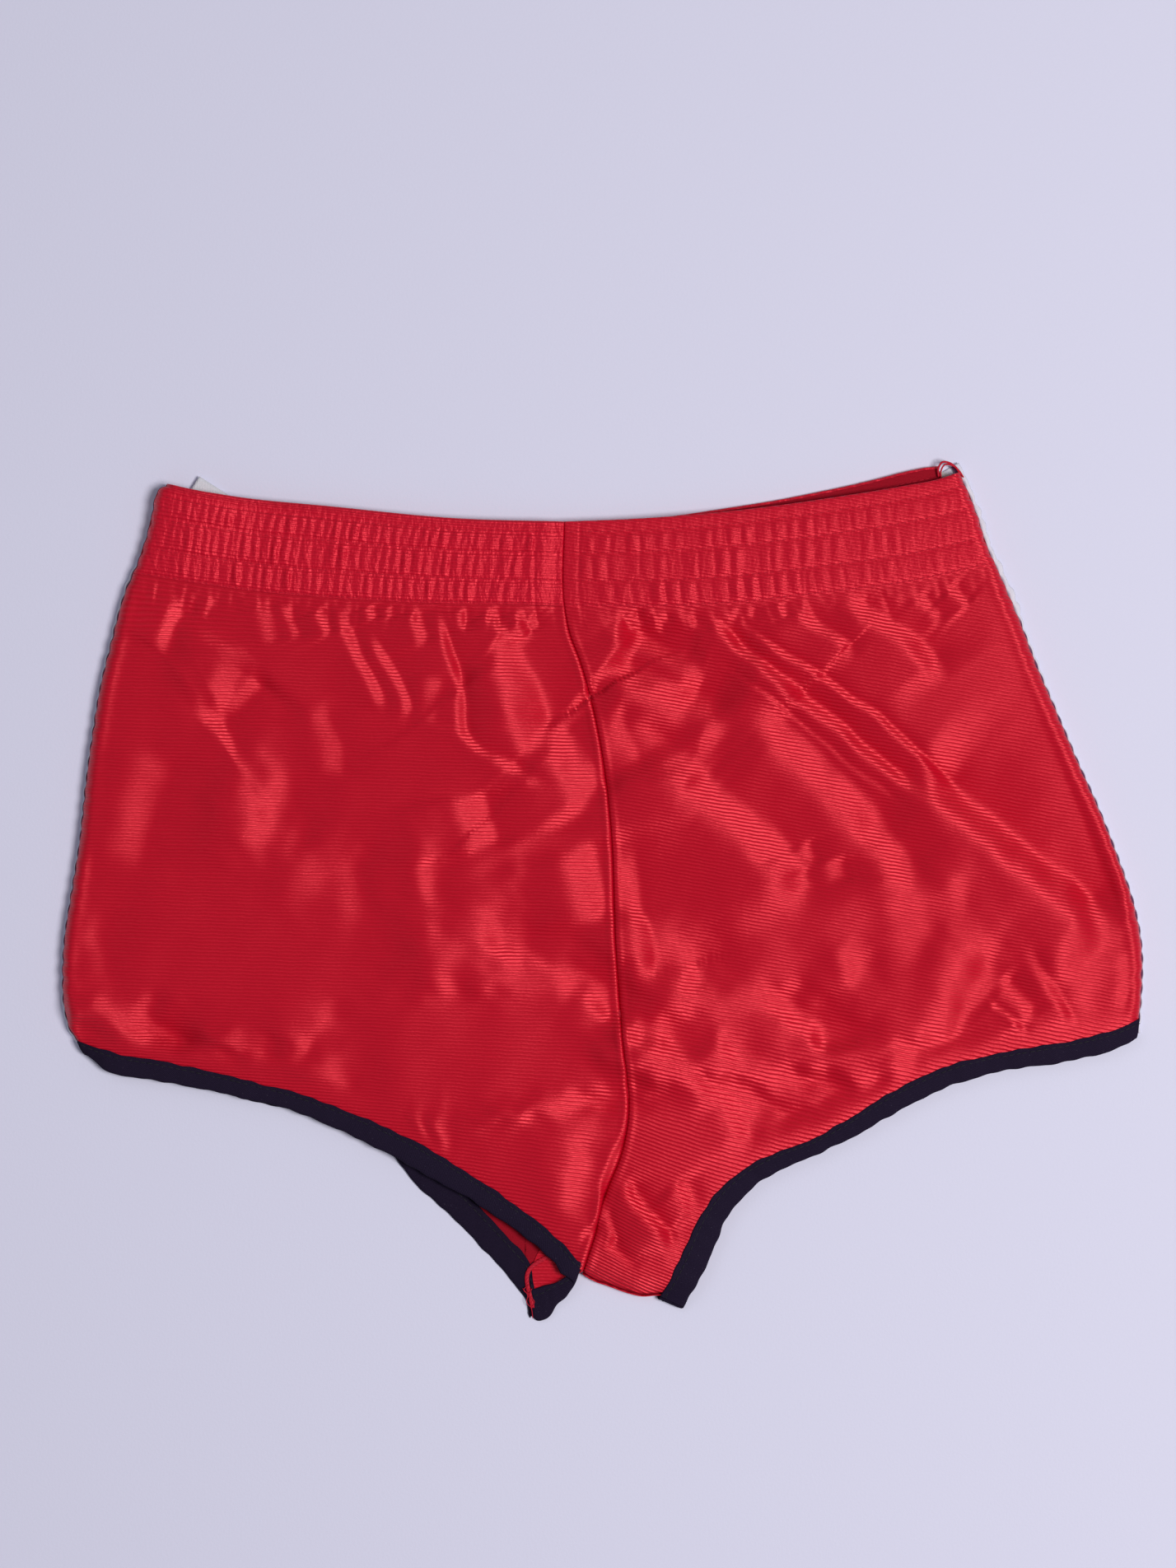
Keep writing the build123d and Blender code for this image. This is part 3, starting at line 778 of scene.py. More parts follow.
def scalloped(side, outward):
    """A side outline that bulges a little between the stitches of its seam."""
    path = spread(side, 500)
    travel = np.cumsum(np.linalg.norm(np.gradient(path, axis=0), axis=1))
    bulge = SCALLOP * np.abs(np.sin(math.pi * travel / SCALLOP_PITCH)) - SCALLOP / 2
    return path + outward * leftward(path) * bulge[:, None]


def smoothed(values, reach):
    """Values along a line, averaged over reach neighbours on each side."""
    window = np.hanning(2 * reach + 3)[1:-1]
    return np.convolve(np.pad(values, reach, "edge"), window / window.sum(), "valid")


def nearest_height(trees, places, above=40.0):
    """Height in mm of the highest of some surfaces over each plan place, or of its nearest edge."""
    heights = []
    for x, y in np.asarray(places, float)[:, :2]:
        hits = [tree.ray_cast((x, y, above), (0, 0, -1))[0] for tree in trees]
        found = [hit.z for hit in hits if hit is not None]
        heights.append(max(found) if found else trees[0].find_nearest((x, y, FRONT_LEVEL / 2))[0].z)
    return np.array(heights)


def rolled(distance, radius):
    """0 at a rolled edge and 1 beyond its radius, along a quarter circle."""
    return np.sqrt(1 - (1 - np.clip(distance / radius, 0, 1)) ** 2)


def closer_at_ends(grid):
    """The same grid with its rows closer together at its top and bottom than in the middle."""
    even = np.arange(len(grid)) / (len(grid) - 1)
    at = (even - 0.55 * np.sin(FULL_TURN * even) / FULL_TURN) * (len(grid) - 1)
    below = np.minimum(at.astype(int), len(grid) - 2)
    t = (at - below)[:, None, None]
    return grid[below] * (1 - t) + grid[below + 1] * t


def panel_plan(top, line, bottom, left, right, body_rows):
    """The plan grids of a panel's band and of its body, which share the last row of stitches."""
    top = top - (0, TURN_RADIUS)
    band_grid = span(top, line, between(left, top[0], line[0], BAND_ROWS),
                     between(right, top[-1], line[-1], BAND_ROWS))
    body_grid = span(line, bottom, between(left, line[0], bottom[0], body_rows),
                     between(right, line[-1], bottom[-1], body_rows))
    return band_grid, body_grid


def lengths_along(grid, axis):
    """Distance along each row or column of a plan grid, from its first vertex."""
    step = np.linalg.norm(np.diff(grid, axis=axis), axis=-1)
    pad = [(0, 0), (0, 0)]
    pad[axis] = (1, 0)
    return np.pad(np.cumsum(step, axis=axis), pad)


def from_both_sides(grid, left_side):
    """Distance of each vertex from the panel's outer side and from its centre seam."""
    row = lengths_along(grid, 1)
    back = row[:, -1:] - row
    return (back, row) if left_side else (row, back)


def down_band(across):
    """0 to 1 from the waist's edge to the last row of stitches, for each vertex of a band."""
    return np.linspace(0, 1, BAND_ROWS + 1)[:, None] + np.zeros_like(across)


# the angles of the rows in the casing's turn at the waist
TURN = np.linspace(0, math.pi, TURN_ROWS + 2)[1:-1, None]


def with_casing(band_grid, body_grid, inner_at, inner_z, band_z, body_z):
    """Plan places and heights of a panel: the casing's inner layer, its turn at the waist, the band
    and the loose cloth."""
    turn_xy = band_grid[0] + np.stack([np.zeros_like(TURN), TURN_RADIUS * np.sin(TURN)], -1)
    turn_z = (band_z[0] + inner_z[-1]) / 2 + (inner_z[-1] - band_z[0]) / 2 * np.cos(TURN)
    place = np.concatenate([band_grid[inner_at], turn_xy, band_grid, body_grid[1:]])
    return place, np.concatenate([inner_z, turn_z, band_z, body_z[1:]])


def with_z(place, z):
    return np.concatenate([place, z[..., None]], axis=-1).reshape(-1, 3)


def ribs(place, tilt):
    """Cloth coordinates in mm, along and across the ribs, where tilt lowers the ribs towards +X."""
    across = place[..., 1] + tilt
    return np.stack([place[..., 0] - 0.3 * tilt, across, np.zeros_like(across)], axis=-1)


def front_tilt(place, left_side):
    """How far the front's ribs drop below level, in mm: more at the wearer's left and low down."""
    x, y = place[..., 0], place[..., 1]
    low = ease((-y - 40) / 110)
    if left_side:
        return 0.17 * (x + 5) + 0.34 * low * 45 * np.tanh((x + 5) / 45)
    return 0.03 * x + 0.14 * low * (x + 70)


def front_height(place, side, hem, seam, left_side):
    """Outer height of the front's loose cloth over its plan places, with all its folds."""
    high = rolled(side, SIDE_ROLL)
    above_hem = ease((hem - 5) / 9)
    height = SEAM_LEVEL + (FRONT_LEVEL - CROWN - SEAM_LEVEL) * high + CROWN * ease(side / 50)
    height += 0.3 * hump(side - 5, 2.2) * above_hem
    height -= (FRONT_LEVEL - HEM_LEVEL) * np.exp(-np.maximum(hem, 0) / 13) * high
    folds = ripple(place, 46, 0.22, 3) + ripple(place, 18, 0.07, 4)
    bent = shaken(place, 24, 0.5, 60)
    for path, half_width, slope in FRONT_FOLDS:
        run = np.subtract(path[-1], path[0])
        lean = np.dot((-run[1], run[0]), LIT_SIDE) / np.linalg.norm(run)
        slope = FOLD_STEEPNESS * slope / math.sqrt(max(lean, LEAST_LEAN))
        add_fold(bent, folds, path, FOLD_BREADTH * half_width, slope, 3.4)
    crumpled = shaken(place, 15, 1.2, 62)
    for centre, size, slope, turn in FRONT_PATCHES:
        add_patch(crumpled, folds, centre, np.multiply(size, PATCH_BREADTH), PATCH_STEEPNESS * slope, turn)
    height += folds * ease(side / 8) * ease((hem - 8) / 11)
    if not left_side:
        inside_rim = side - 4.6
        height -= 0.55 * np.tanh(inside_rim / 1.8) * np.exp(-np.abs(inside_rim) / 7) * above_hem
    height += 0.35 * hump(seam - 2.0, 1.1) - 0.5 * hump(seam, 0.6)
    if left_side:
        crotch = np.abs(distance_to(place, CROTCH_FOLD + LEFT_LEG_FRONT[:1])[0])
        height = CROTCH_LEVEL + (height - CROTCH_LEVEL) * rolled(crotch, 9.0)
    return height


def crotch_turn(left_side, tree):
    """The part of a front panel that is turned under at the crotch, as far as the inseam."""
    rows, columns = 18, 24
    under = 1.15
    if left_side:
        edge = spread(CROTCH_FOLD + [(25.5, -166.5)], columns)
        seam = spread([(0, -136), (22, -138), (41, -148)], columns)
        level = nearest_height([tree], edge)
        radius = 0.5
    else:
        edge = spread([(-8.5, -156.2)] + RIGHT_TURN_INNER[1:], columns)
        seam = spread([(0, -136), (-24, -145), (-29.6, -160), (-28.4, -166)], columns)
        level = np.interp(np.linspace(0, 1, columns + 1), (0, 0.25, 0.6, 1), (4.6, 3.6, 2.6, 1.7))
        radius = 0.0
    vertices = []
    for t in np.arange(rows + 1) / rows:
        angle = math.pi * min(1, t / 0.3)
        plan = edge + (seam - edge) * ease(max(0, t - 0.12) / 0.88) - (0, radius * math.sin(angle))
        vertices.append(np.column_stack([plan, under + (level - under) * (0.5 + 0.5 * math.cos(angle))]))
    return np.concatenate(vertices), grid_faces(rows + 1, columns + 1)


def front_panel(name, node, left_side, columns, body_rows):
    """A front panel with its casing and its part of the crotch."""
    if left_side:
        waist, line = FRONT_WAIST_LEFT, FRONT_BAND_LEFT
        leg = part_way(LEFT_LEG_FRONT, LEFT_LEG_FRONT_INNER, RAW_EDGE, 200)
        bottom = chained([CROTCH_FOLD + [leg[4]], leg[4::4]], columns)
        edges = (CENTRE_FRONT, scalloped(LEFT_SIDE, 1))
    else:
        waist, line = FRONT_WAIST_RIGHT, FRONT_BAND_RIGHT
        leg = part_way(RIGHT_LEG_FRONT, RIGHT_LEG_FRONT_INNER, RAW_EDGE, 200)
        bottom = chained([leg[:195:6], [leg[192], (-8.6, -156.4)]], columns)
        edges = (scalloped(RIGHT_SIDE, -1), CENTRE_FRONT)
    band_grid, body_grid = panel_plan(spread(waist, columns), spread(line, columns), spread(bottom, columns),
                                      *edges, body_rows)
    body_grid = closer_at_ends(body_grid)
    side, seam = from_both_sides(body_grid, left_side)
    band_side, band_across = from_both_sides(band_grid, left_side)
    if not left_side:
        band_across = -band_across
    hem = distance_to(body_grid, bottom)[0]
    body_z = front_height(body_grid, side, hem, seam, left_side)
    gathers = np.zeros_like(body_z)
    loose_gathers(body_grid, gathers, line, 21 + left_side, 0.45 if left_side else -0.1)
    down = down_band(band_across)
    shirring = gathered(band_across, down)
    band_z = SEAM_LEVEL + (BAND_LEVEL - SEAM_LEVEL) * rolled(band_side, 4.0) + shirring * ease(band_side / 5)
    band_z += label_room(band_grid) * rolled(band_side, 7.0)
    band_z -= 0.35 * hump(band_across, 0.5)
    add_patch(band_grid, band_z, (-22, 134), (5, 18), 0.28)
    drop = lengths_along(body_grid, 0)
    body_z = body_z + gathers
    body_z += (band_z[-1] - body_z[0]) * (1 - ease(drop / 14))
    inner_at = np.linspace(0, BAND_ROWS, INNER_ROWS + 1).round().astype(int)[::-1]
    inner_z = band_z[inner_at] - CASING_GAP - CLOTH - 0.3 * shirring[inner_at]
    place, z = with_casing(band_grid, body_grid, inner_at, inner_z, band_z, body_z)
    weave = ribs(place, front_tilt(place, left_side))
    before_band = len(inner_at) + TURN_ROWS
    body_from = before_band + BAND_ROWS + 1
    if not left_side:
        along_band = np.concatenate([-down[inner_at], TURN * 0 + 0.02 + 0 * down[:1], down]) * BAND_DEPTH
        level = FRONT_WAIST_RIGHT[-1][1] - np.concatenate([along_band, BAND_DEPTH + drop[1:]])
        middle = ease(np.r_[np.zeros(body_from), drop[1:].mean(1) / 30])[:, None]
        weave[..., 1] = middle * weave[..., 1] + (1 - middle) * level
    # the band's gathering mask, which crinkles the satin's bump and paints sheen on its colour, more at the
    # wearer's right
    weave[:body_from, :, 2] = 0.4 if left_side else 0.9
    vertices = with_z(place, z)
    faces = grid_faces(len(place), columns + 1)
    outer_faces = [face for face in faces if face[0] >= before_band * (columns + 1)]
    tree = BVHTree.FromPolygons(vertices.tolist(), outer_faces)
    under, under_faces = crotch_turn(left_side, tree)
    weave = np.concatenate([weave.reshape(-1, 3), under * (1, 1, 0)])
    vertices, faces = joined([(vertices.tolist(), faces), (under.tolist(), under_faces)])
    piece = make_piece(name, vertices, faces, RED, node, weave=weave)
    thicken(piece, CLOTH, inside=RED_INSIDE_AND_SHADE)
    return tree


BACK_FOLDS = [
    ([(-150, 118), (-120, 70), (-80, 30)], 4.0, 0.24), ([(-90, 116), (-70, 70), (-40, 20)], 4.5, 0.22),
    ([(40, 116), (60, 60), (110, 0)], 4.0, 0.24), ([(110, 128), (140, 70), (180, 10)], 4.5, 0.22),
    ([(-180, -40), (-110, -60), (-60, -100)], 5.0, 0.22), ([(50, -100), (100, -60), (180, -40)], 5.0, 0.20),
]


def back_height(place):
    """Height of the back panels' inner face, which lies on the surface with a few soft folds."""
    height = ripple(place, 60, 0.40, 8) + ripple(place, 22, 0.12, 9)
    for path, half_width, slope in BACK_FOLDS:
        add_fold(place, height, path, half_width, slope)
    return BACK_LEVEL + CLOTH + np.sqrt(height**2 + 0.04) * (height > 0) + 0.2 * np.exp(np.minimum(height, 0))


def back_panel(name, node, left_side, columns, body_rows):
    """A back panel with its casing. It ends inside the front's outline, where the side stripe is."""
    if left_side:
        side = beside(LEFT_SIDE, -BACK_INSET)
        waist, line = BACK_WAIST_LEFT, BACK_BAND_LEFT
        top = between(waist, waist[0], meeting(waist, side), columns)
        line = between(line, line[0], meeting(line, side), columns)
        leg = [(x, y + 2.5) for x, y in LEFT_LEG_FRONT[6:-1]]
        bottom = chained([INSEAM_LEFT, [INSEAM_LEFT[-1], (50, -133), (56, -125)],
                          [(56, -125)] + leg + [(213, -61.5)]], columns)
        edges = (CENTRE_BACK, np.concatenate([top[-1:] - (0, TURN_RADIUS), side[20::10]]))
    else:
        side = beside(RIGHT_SIDE, BACK_INSET)
        waist, line = BACK_WAIST_RIGHT, BACK_BAND_RIGHT
        top = between(waist, meeting(waist, side), waist[-1], columns)
        line = between(line, meeting(line, side), line[-1], columns)
        leg = part_way(RIGHT_LEG_BACK[::-1], RIGHT_LEG_BACK_INNER[::-1], RAW_EDGE + 0.02, 200)
        bottom = chained([leg[2::6], [leg[-1]] + INSEAM_RIGHT[1:]], columns)
        edges = (side, CENTRE_BACK)
    band_grid, body_grid = panel_plan(top, line, bottom, *edges, body_rows)
    across = from_both_sides(band_grid, left_side)[1]
    if not left_side:
        across = -across
    shirring = 0.8 * gathered(across, down_band(across))
    bed = label_bed(band_grid)
    inner_z = (1 - bed) * (back_height(band_grid) + CASING_GAP + 0.9 * shirring) + bed * BED_LEVEL
    drop = lengths_along(body_grid, 0)
    body_z = BACK_LEVEL + (back_height(body_grid) - CLOTH - BACK_LEVEL) * ease(drop / 16)
    inner_at = np.arange(0, BAND_ROWS + 1)[::-1]
    place, z = with_casing(band_grid, body_grid, inner_at, inner_z[inner_at], BACK_LEVEL + 0 * across, body_z)
    weave = ribs(place, 0.05 * place[..., 0])
    # the casing's gathering mask, which crinkles the satin's bump and paints sheen on its colour
    weave[:len(inner_at) + TURN_ROWS + BAND_ROWS + 1, :, 2] = 1
    faces = turned_over(grid_faces(len(place), columns + 1))
    vertices = with_z(place, z)
    tree = BVHTree.FromPolygons(vertices.tolist(), faces)
    piece = make_piece(name, vertices, faces, RED, node, weave=weave.reshape(-1, 3))
    thicken(piece, CLOTH, inside=RED_INSIDE_AND_SHADE)
    # Painted shade: the casing's inner layer, seen as the strip above the front's waist, takes the darker
    # inside material instead of the satin.
    for polygon in piece.data.polygons[:BAND_ROWS * columns]:
        polygon.material_index = 1
    return tree


# ---- strips, stripes and threads ---------------------------------------------------------------
def strip_normals(outer, inner):
    """Unit normals of a closed strip that runs along two edges."""
    middle = (outer + inner) / 2
    way = np.roll(middle, -1, axis=0) - np.roll(middle, 1, axis=0)
    return unit(np.cross(way, inner - outer))


def curl(start, end, outward, count):
    """Points of a half turn from one edge of a fold to the other, bulging outward."""
    angle = np.linspace(0, math.pi, count + 2)[1:-1, None]
    radius = np.linalg.norm(end - start) / 2
    return (start + end) / 2 - (end - start) / 2 * np.cos(angle) + radius * np.sin(angle) * np.array(outward)


# across the tape from its lower free edge, round the leg edge, to its upper free edge:
# the share of the width from the leg edge, and the distance off the middle surface in mm
BINDING_HALF = [
    (0.05, 0.42), (0.16, 0.55), (0.45, 0.58), (0.71, 0.48), (0.79, 0.36), (0.86, 0.48), (0.95, 0.52),
    (1.0, 0.42),
]
BINDING_SECTION = np.array([(share, -off) for share, off in BINDING_HALF[::-1]] + [(0.0, 0.0)] + BINDING_HALF)
STITCH_AT = 0.79       # where the binding's stitches run, as a share of its width
WAVER = 0.13           # how far the tape's edges waver, for each of its waves
WAVER_TURNS = (11, 17, 26, 41, 58)
SWELL = 0.30           # how far the tape's faces swell and sink along it


def binding(name, node, outer, inner, seed):
    """A leg binding: one tape folded round the leg's raw edge, in a closed loop."""
    normal = strip_normals(outer, inner)
    share, rise = BINDING_SECTION.T
    draw = np.random.default_rng(seed)
    travel = travel_along(outer)
    round_leg = FULL_TURN * travel / travel[-1]
    waver = sum(WAVER * np.sin(turns * round_leg + draw.uniform(0, FULL_TURN)) for turns in WAVER_TURNS)
    away = unit(outer - inner) * (1, 1, 0)
    outer, inner = outer + waver[:, None] * away, inner + np.roll(waver, 5)[:, None] * away
    wave = 0
    for _ in range(9):
        turns = draw.integers(14, 90)
        phase = draw.uniform(0, FULL_TURN)
        slant = draw.uniform(-2.5, 2.5)
        wave = wave + np.sin(turns * round_leg[:, None] + phase + slant * share) / 9
    off = rise + wave * SWELL * np.sign(rise) * (1 - np.abs(2 * share - 1) ** 2)
    vertices = outer[:, None] + (inner - outer)[:, None] * share[:, None] + normal[:, None] * off[..., None]
    width = np.linalg.norm(np.diff(vertices, axis=1), axis=2)
    across = np.pad(np.cumsum(width, axis=1), [(0, 0), (1, 0)])
    weave = np.stack([travel[:, None] + 0 * across, across, 0 * across], axis=-1)
    faces = grid_faces(len(outer), len(share), wrap=True)
    piece = make_piece(name, vertices.reshape(-1, 3), faces, BLACK, node, weave=weave.reshape(-1, 3))
    thicken(piece, BINDING_CLOTH)


def ring(count):
    """The cosines and sines of equal steps round a circle."""
    angle = np.arange(count) * FULL_TURN / count
    return np.cos(angle), np.sin(angle)


# a stitch's rings: place along it and thickness there, as shares of its length and radius
STITCH_RINGS = [(-0.5, 0.35), (-0.38, 0.85), (0.0, 1.0), (0.38, 0.85), (0.5, 0.35)]
STITCH_SIDES = 6


def capsules(centres, ways, normals, length, radius, flatness=0.7):
    """Vertices and faces of small round-ended stitches at the given places, ways and normals."""
    at, share = np.array(STITCH_RINGS).T[:, :, None, None]
    cosine, sine = (part[:, None] for part in ring(STITCH_SIDES))
    vertices, faces = [], []
    for centre, way, normal, left in zip(centres, ways, normals, np.cross(normals, ways)):
        faces += ring_faces(len(STITCH_RINGS), STITCH_SIDES, len(vertices))
        across = left * cosine + normal * flatness * sine
        vertices.extend((centre + way * length * at + radius * share * across).reshape(-1, 3))
    return vertices, faces


def stitched(path, normals, pitch, length, radius, seed):
    """Stitches at even steps along a path, lying on a surface with the given normals."""
    travel = travel_along(path)
    at = np.arange(pitch / 2, travel[-1], pitch)
    draw = np.random.default_rng(seed)
    at = at + draw.uniform(-0.12, 0.12, len(at)) * pitch
    way = unit(sampled(at + 0.6, travel, path) - sampled(at - 0.6, travel, path))
    return capsules(sampled(at, travel, path), way, unit(sampled(at, travel, normals)), length, radius)


def tube(path, radius, sides=7):
    """Vertices and faces of a closed round thread along a path."""
    path = np.asarray(path, float)
    way = unit(np.gradient(path, axis=0))
    side = unit(np.cross(way, (0.12, 0.23, 0.96)))
    up = np.cross(side, way)
    thickness = np.full(len(path), radius)
    thickness[[0, -1]] = radius * 0.35
    cosine, sine = (part[:, None] for part in ring(sides))
    around = (side[:, None] * cosine + up[:, None] * sine) * thickness[:, None, None]
    return list((path[:, None] + around).reshape(-1, 3)), ring_faces(len(path), sides)


# half of a seam allowance's section: share of its width off the middle, and height in mm
CORE = [(-0.46, 0.0), (-0.40, 0.14), (0.0, 0.17), (0.40, 0.14)]
CORE_SECTION = np.array(CORE + [(-share, -lift) for share, lift in CORE])


def overlocked(name, node, path, heights, width, seed, extra=()):
    """A seam allowance bound in thread: a flat core with looped thread crossing it."""
    path = spread(path, max(20, int(step_lengths(spread(path, 40)).sum() / 1.6)))
    heights = np.interp(np.linspace(0, 1, len(path)), np.linspace(0, 1, len(heights)), heights)
    left = leftward(path)
    share, lift = CORE_SECTION.T
    plan = path[:, None] + left[:, None] * share[:, None] * width
    core = with_z(plan, heights[:, None] + lift)
    core_faces = [face[:1] + face[:0:-1] for face in ring_faces(len(path), len(share))]
    draw = np.random.default_rng(seed)
    twice = 2 * len(path) - 1
    sway = (np.arange(twice) % 2 * 2 - 1)[:, None] * width * draw.uniform(0.44, 0.54, (twice, 1))
    zigzag = np.repeat(path, 2, axis=0)[:-1] + np.repeat(left, 2, axis=0)[:-1] * sway
    level = np.repeat(heights, 2)[:-1]
    threads = [tube(np.column_stack([zigzag, level + side * 0.20]), 0.16, 5) for side in (1, -1)]
    piece = make_piece(name, *joined([(core, core_faces)] + threads + list(extra)), RED_THREAD, node)


# across the side stripe from the front seam round the rim to the back seam: how far out it lies,
# as mm and as a share of the rim's bulge, and its height in mm
STRIPE_SECTION = [
    (-1.6, 0, 2.25), (-0.6, 0, 2.35), (0.0, 0.25, 2.30), (0.0, 0.5, 2.22), (0.0, 0.8, 2.0), (0.0, 1, 1.45),
    (0.0, 0.8, 0.85), (-0.6, 0.2, 0.42), (-1.8, 0, 0.30), (-3.4, 0, 0.34), (-5.2, 0, 0.30), (-7.2, 0, 0.36),
    (-9.6, 0, 0.95),
]
SEAM_SHADE_WIDTH = 0.55       # width of the painted shade along the stripe's seam to the front


def side_stripe(name, node, side, outward, bulges, rows):
    """A side stripe, rolled round the rim from the front's seam to the back's."""
    path = spread(scalloped(side, outward), rows)
    out = leftward(spread(side, rows)) * outward
    bulge = np.interp(path[:, 1], *np.array(sorted(bulges)).T)
    draw = np.random.default_rng(17)
    bulge = bulge * (1 + 0.35 * smoothed(draw.uniform(-1, 1, len(path)), 2))
    base, share, level = np.array(STRIPE_SECTION).T
    away = base + share * bulge[:, None]
    height = level + 0.12 * draw.uniform(-1, 1, away.shape) * (share > 0)
    faces = grid_faces(len(path), len(base))
    if outward < 0:
        faces = turned_over(faces)
    # how much painted shade each vertex gets along the seam to the front, only on the raised part of the
    # stripe
    seam = np.clip((SEAM_SHADE_WIDTH - away) / 0.25, 0, 1) * (level > 1.4)
    weave = np.stack([np.arange(len(path))[:, None] * np.ones_like(away), away, seam], axis=-1)
    vertices = with_z(path[:, None] + out[:, None] * away[..., None], height)
    piece = make_piece(name, vertices, faces, WHITE, node, weave=weave.reshape(-1, 3))
    thicken(piece, STRIPE_CLOTH)


# ---- the pieces in their places ----------------------------------------------------------------
DETAIL = 280
BODY_ROWS = int(DETAIL * 0.9)
TAPE_LEVEL = 0.75      # lowest middle surface of the leg bindings on the back
UP = np.array([[0.0, 0.0, 1.0]])
# outer edge, cloth-side edge, height and rise of the cloth side, from the front's end to the tail
CROTCH_TAB = [
    ((-17.5, -157.4), (-10.4, -151.6), 5.4, 0.8), ((-13.2, -160.2), (-8.4, -153.6), 4.9, 0.6),
    ((-11.9, -162.6), (-10.2, -156.4), 4.1, 0.4), ((-14.1, -165.8), (-14.2, -158.8), 3.2, 0.4),
    ((-18.9, -170.6), (-21.3, -161.6), 2.2, 0.3), ((-23.4, -176.8), (-27.0, -163.6), 1.4, 0.2),
    ((-26.8, -177.6), (-29.4, -164.2), 1.1, 0.1), ((-30.0, -175.0), (-29.6, -160.0), 0.9, 0.1),
]


def with_height(plan, height):
    return np.column_stack([plan, np.broadcast_to(height, len(plan))])


def front_edges(outer, inner, tree):
    """The outer and inner edge of a binding where it lies on a front panel."""
    level = smoothed(nearest_height([tree], inner), 2) - 0.05
    return with_height(outer, level - 1.4), with_height(inner, level)


def right_loop(tree):
    """The two edges of the right leg's binding, once round: front, crotch, back, outer side."""
    front = front_edges(spread(RIGHT_LEG_FRONT, 150)[:-4], spread(RIGHT_LEG_FRONT_INNER, 150)[:-4], tree)
    tab = spread([(*outer, z, *inner, z + rise) for outer, inner, z, rise in CROTCH_TAB], 44)
    back_inner = spread(RIGHT_LEG_BACK_INNER, 110)
    level = np.maximum(smoothed(back_height(back_inner) - CLOTH / 2, 4), TAPE_LEVEL)
    back = (with_height(spread(RIGHT_LEG_BACK, 110), level), with_height(back_inner, level + 0.1))
    return [np.concatenate([on_front, on_tab, on_back, curl(on_back[-1], on_front[0], (-0.4, 0, 0), 8)])
            for on_front, on_tab, on_back in zip(front, (tab[:, :3], tab[:, 3:]), back)]


def left_loop(tree):
    """The two edges of the left leg's binding, once round from the crotch to the outer side."""
    front = front_edges(spread(LEFT_LEG_FRONT, 170), spread(LEFT_LEG_FRONT_INNER, 170), tree)
    back = (with_height(beside(LEFT_LEG_FRONT, 1.5)[::-3], TAPE_LEVEL),
            with_height(beside(LEFT_LEG_FRONT_INNER, 1.5)[::-3], TAPE_LEVEL + 0.05))
    return [np.concatenate([on_front, curl(on_front[-1], on_back[0], (0.4, 0, 0), 8),
                            on_back, curl(on_back[-1], on_front[0], (-0.3, -0.95, 0), 8)])
            for on_front, on_back in zip(front, back)]


def binding_stitching(name, node, outer, inner, seed):
    """The stitches through a binding, on both of its faces."""
    normal = strip_normals(outer, inner)
    line = outer + (inner - outer) * STITCH_AT
    off = normal * 0.42
    both = [stitched(line + off * side, normal * side, pitch=2.9, length=2.2, radius=0.28, seed=seed)
            for side in (1, -1)]
    piece = make_piece(name, *joined(both), DARK_THREAD, node)


def waist_row(name, node, share, fronts, backs, seed):
    """One row of stitches round the waist: on the front's outer face and on both of the back's."""
    parts = []

    def sew(line, height, facing, length, radius, its_seed):
        normals = np.repeat(UP * facing, len(line), axis=0)
        parts.append(stitched(with_height(line, height), normals, 2.6, length, radius, its_seed))

    for waist, band in ((FRONT_WAIST_RIGHT, FRONT_BAND_RIGHT), (FRONT_WAIST_LEFT, FRONT_BAND_LEFT)):
        line = part_way(waist, band, share, 400)[4:-4]
        sew(line, smoothed(nearest_height(fronts, line), 1) + 0.04, 1, 1.9, 0.17, seed)
    for waist, band in ((BACK_WAIST_RIGHT, BACK_BAND_RIGHT), (BACK_WAIST_LEFT, BACK_BAND_LEFT)):
        line = part_way(waist, band, share, 120)[6:-6]
        sew(line, 0.2, -1, 2.05, 0.18, seed + 1)
        sew(line, smoothed(nearest_height(backs, line), 1) + 0.06, 1, 2.05, 0.24, seed + 2)
    piece = make_piece(name, *joined(parts), RED_THREAD, node)


def waist_elastic():
    """The flat loop of elastic inside the casing."""
    rows = 10
    low = 1.9
    front_top = chained([FRONT_WAIST_RIGHT, FRONT_WAIST_LEFT], 120)[1:-1] - (0, 1.8)
    front_end = chained([FRONT_BAND_RIGHT, FRONT_BAND_LEFT], 120)[1:-1] + (0, 1.2)
    back_top = chained([BACK_WAIST_RIGHT, BACK_WAIST_LEFT], 120)[1:-1][::-1] - (0, 1.8)
    back_end = chained([BACK_BAND_RIGHT, BACK_BAND_LEFT], 120)[1:-1][::-1] + (0, 1.2)
    edge = np.linspace(0, 1, len(front_top))
    arch = rolled(np.minimum(edge, 1 - edge) * 340, 3.5)
    front_level = low + (BAND_LEVEL - 1.35 - low) * arch
    loops = []
    for share in np.linspace(0, 1, rows):
        front = (1 - share) * front_top + share * front_end
        front = with_height(front, front_level + arch * label_room(front))
        back = with_height((1 - share) * back_top + share * back_end, 1.2)
        loops.append(np.concatenate([front, curl(front[-1], back[0], (1, 0, 0), 5),
                                     back, curl(back[-1], front[0], (-1, 0, 0), 5)]))
    grid = np.array(loops).transpose(1, 0, 2)
    faces = grid_faces(len(grid), rows, wrap=True)
    piece = make_piece("waist_elastic_loop", grid.reshape(-1, 3), faces, ELASTIC, "waist_elastic")
    thicken(piece, ELASTIC_CLOTH, 0.0)


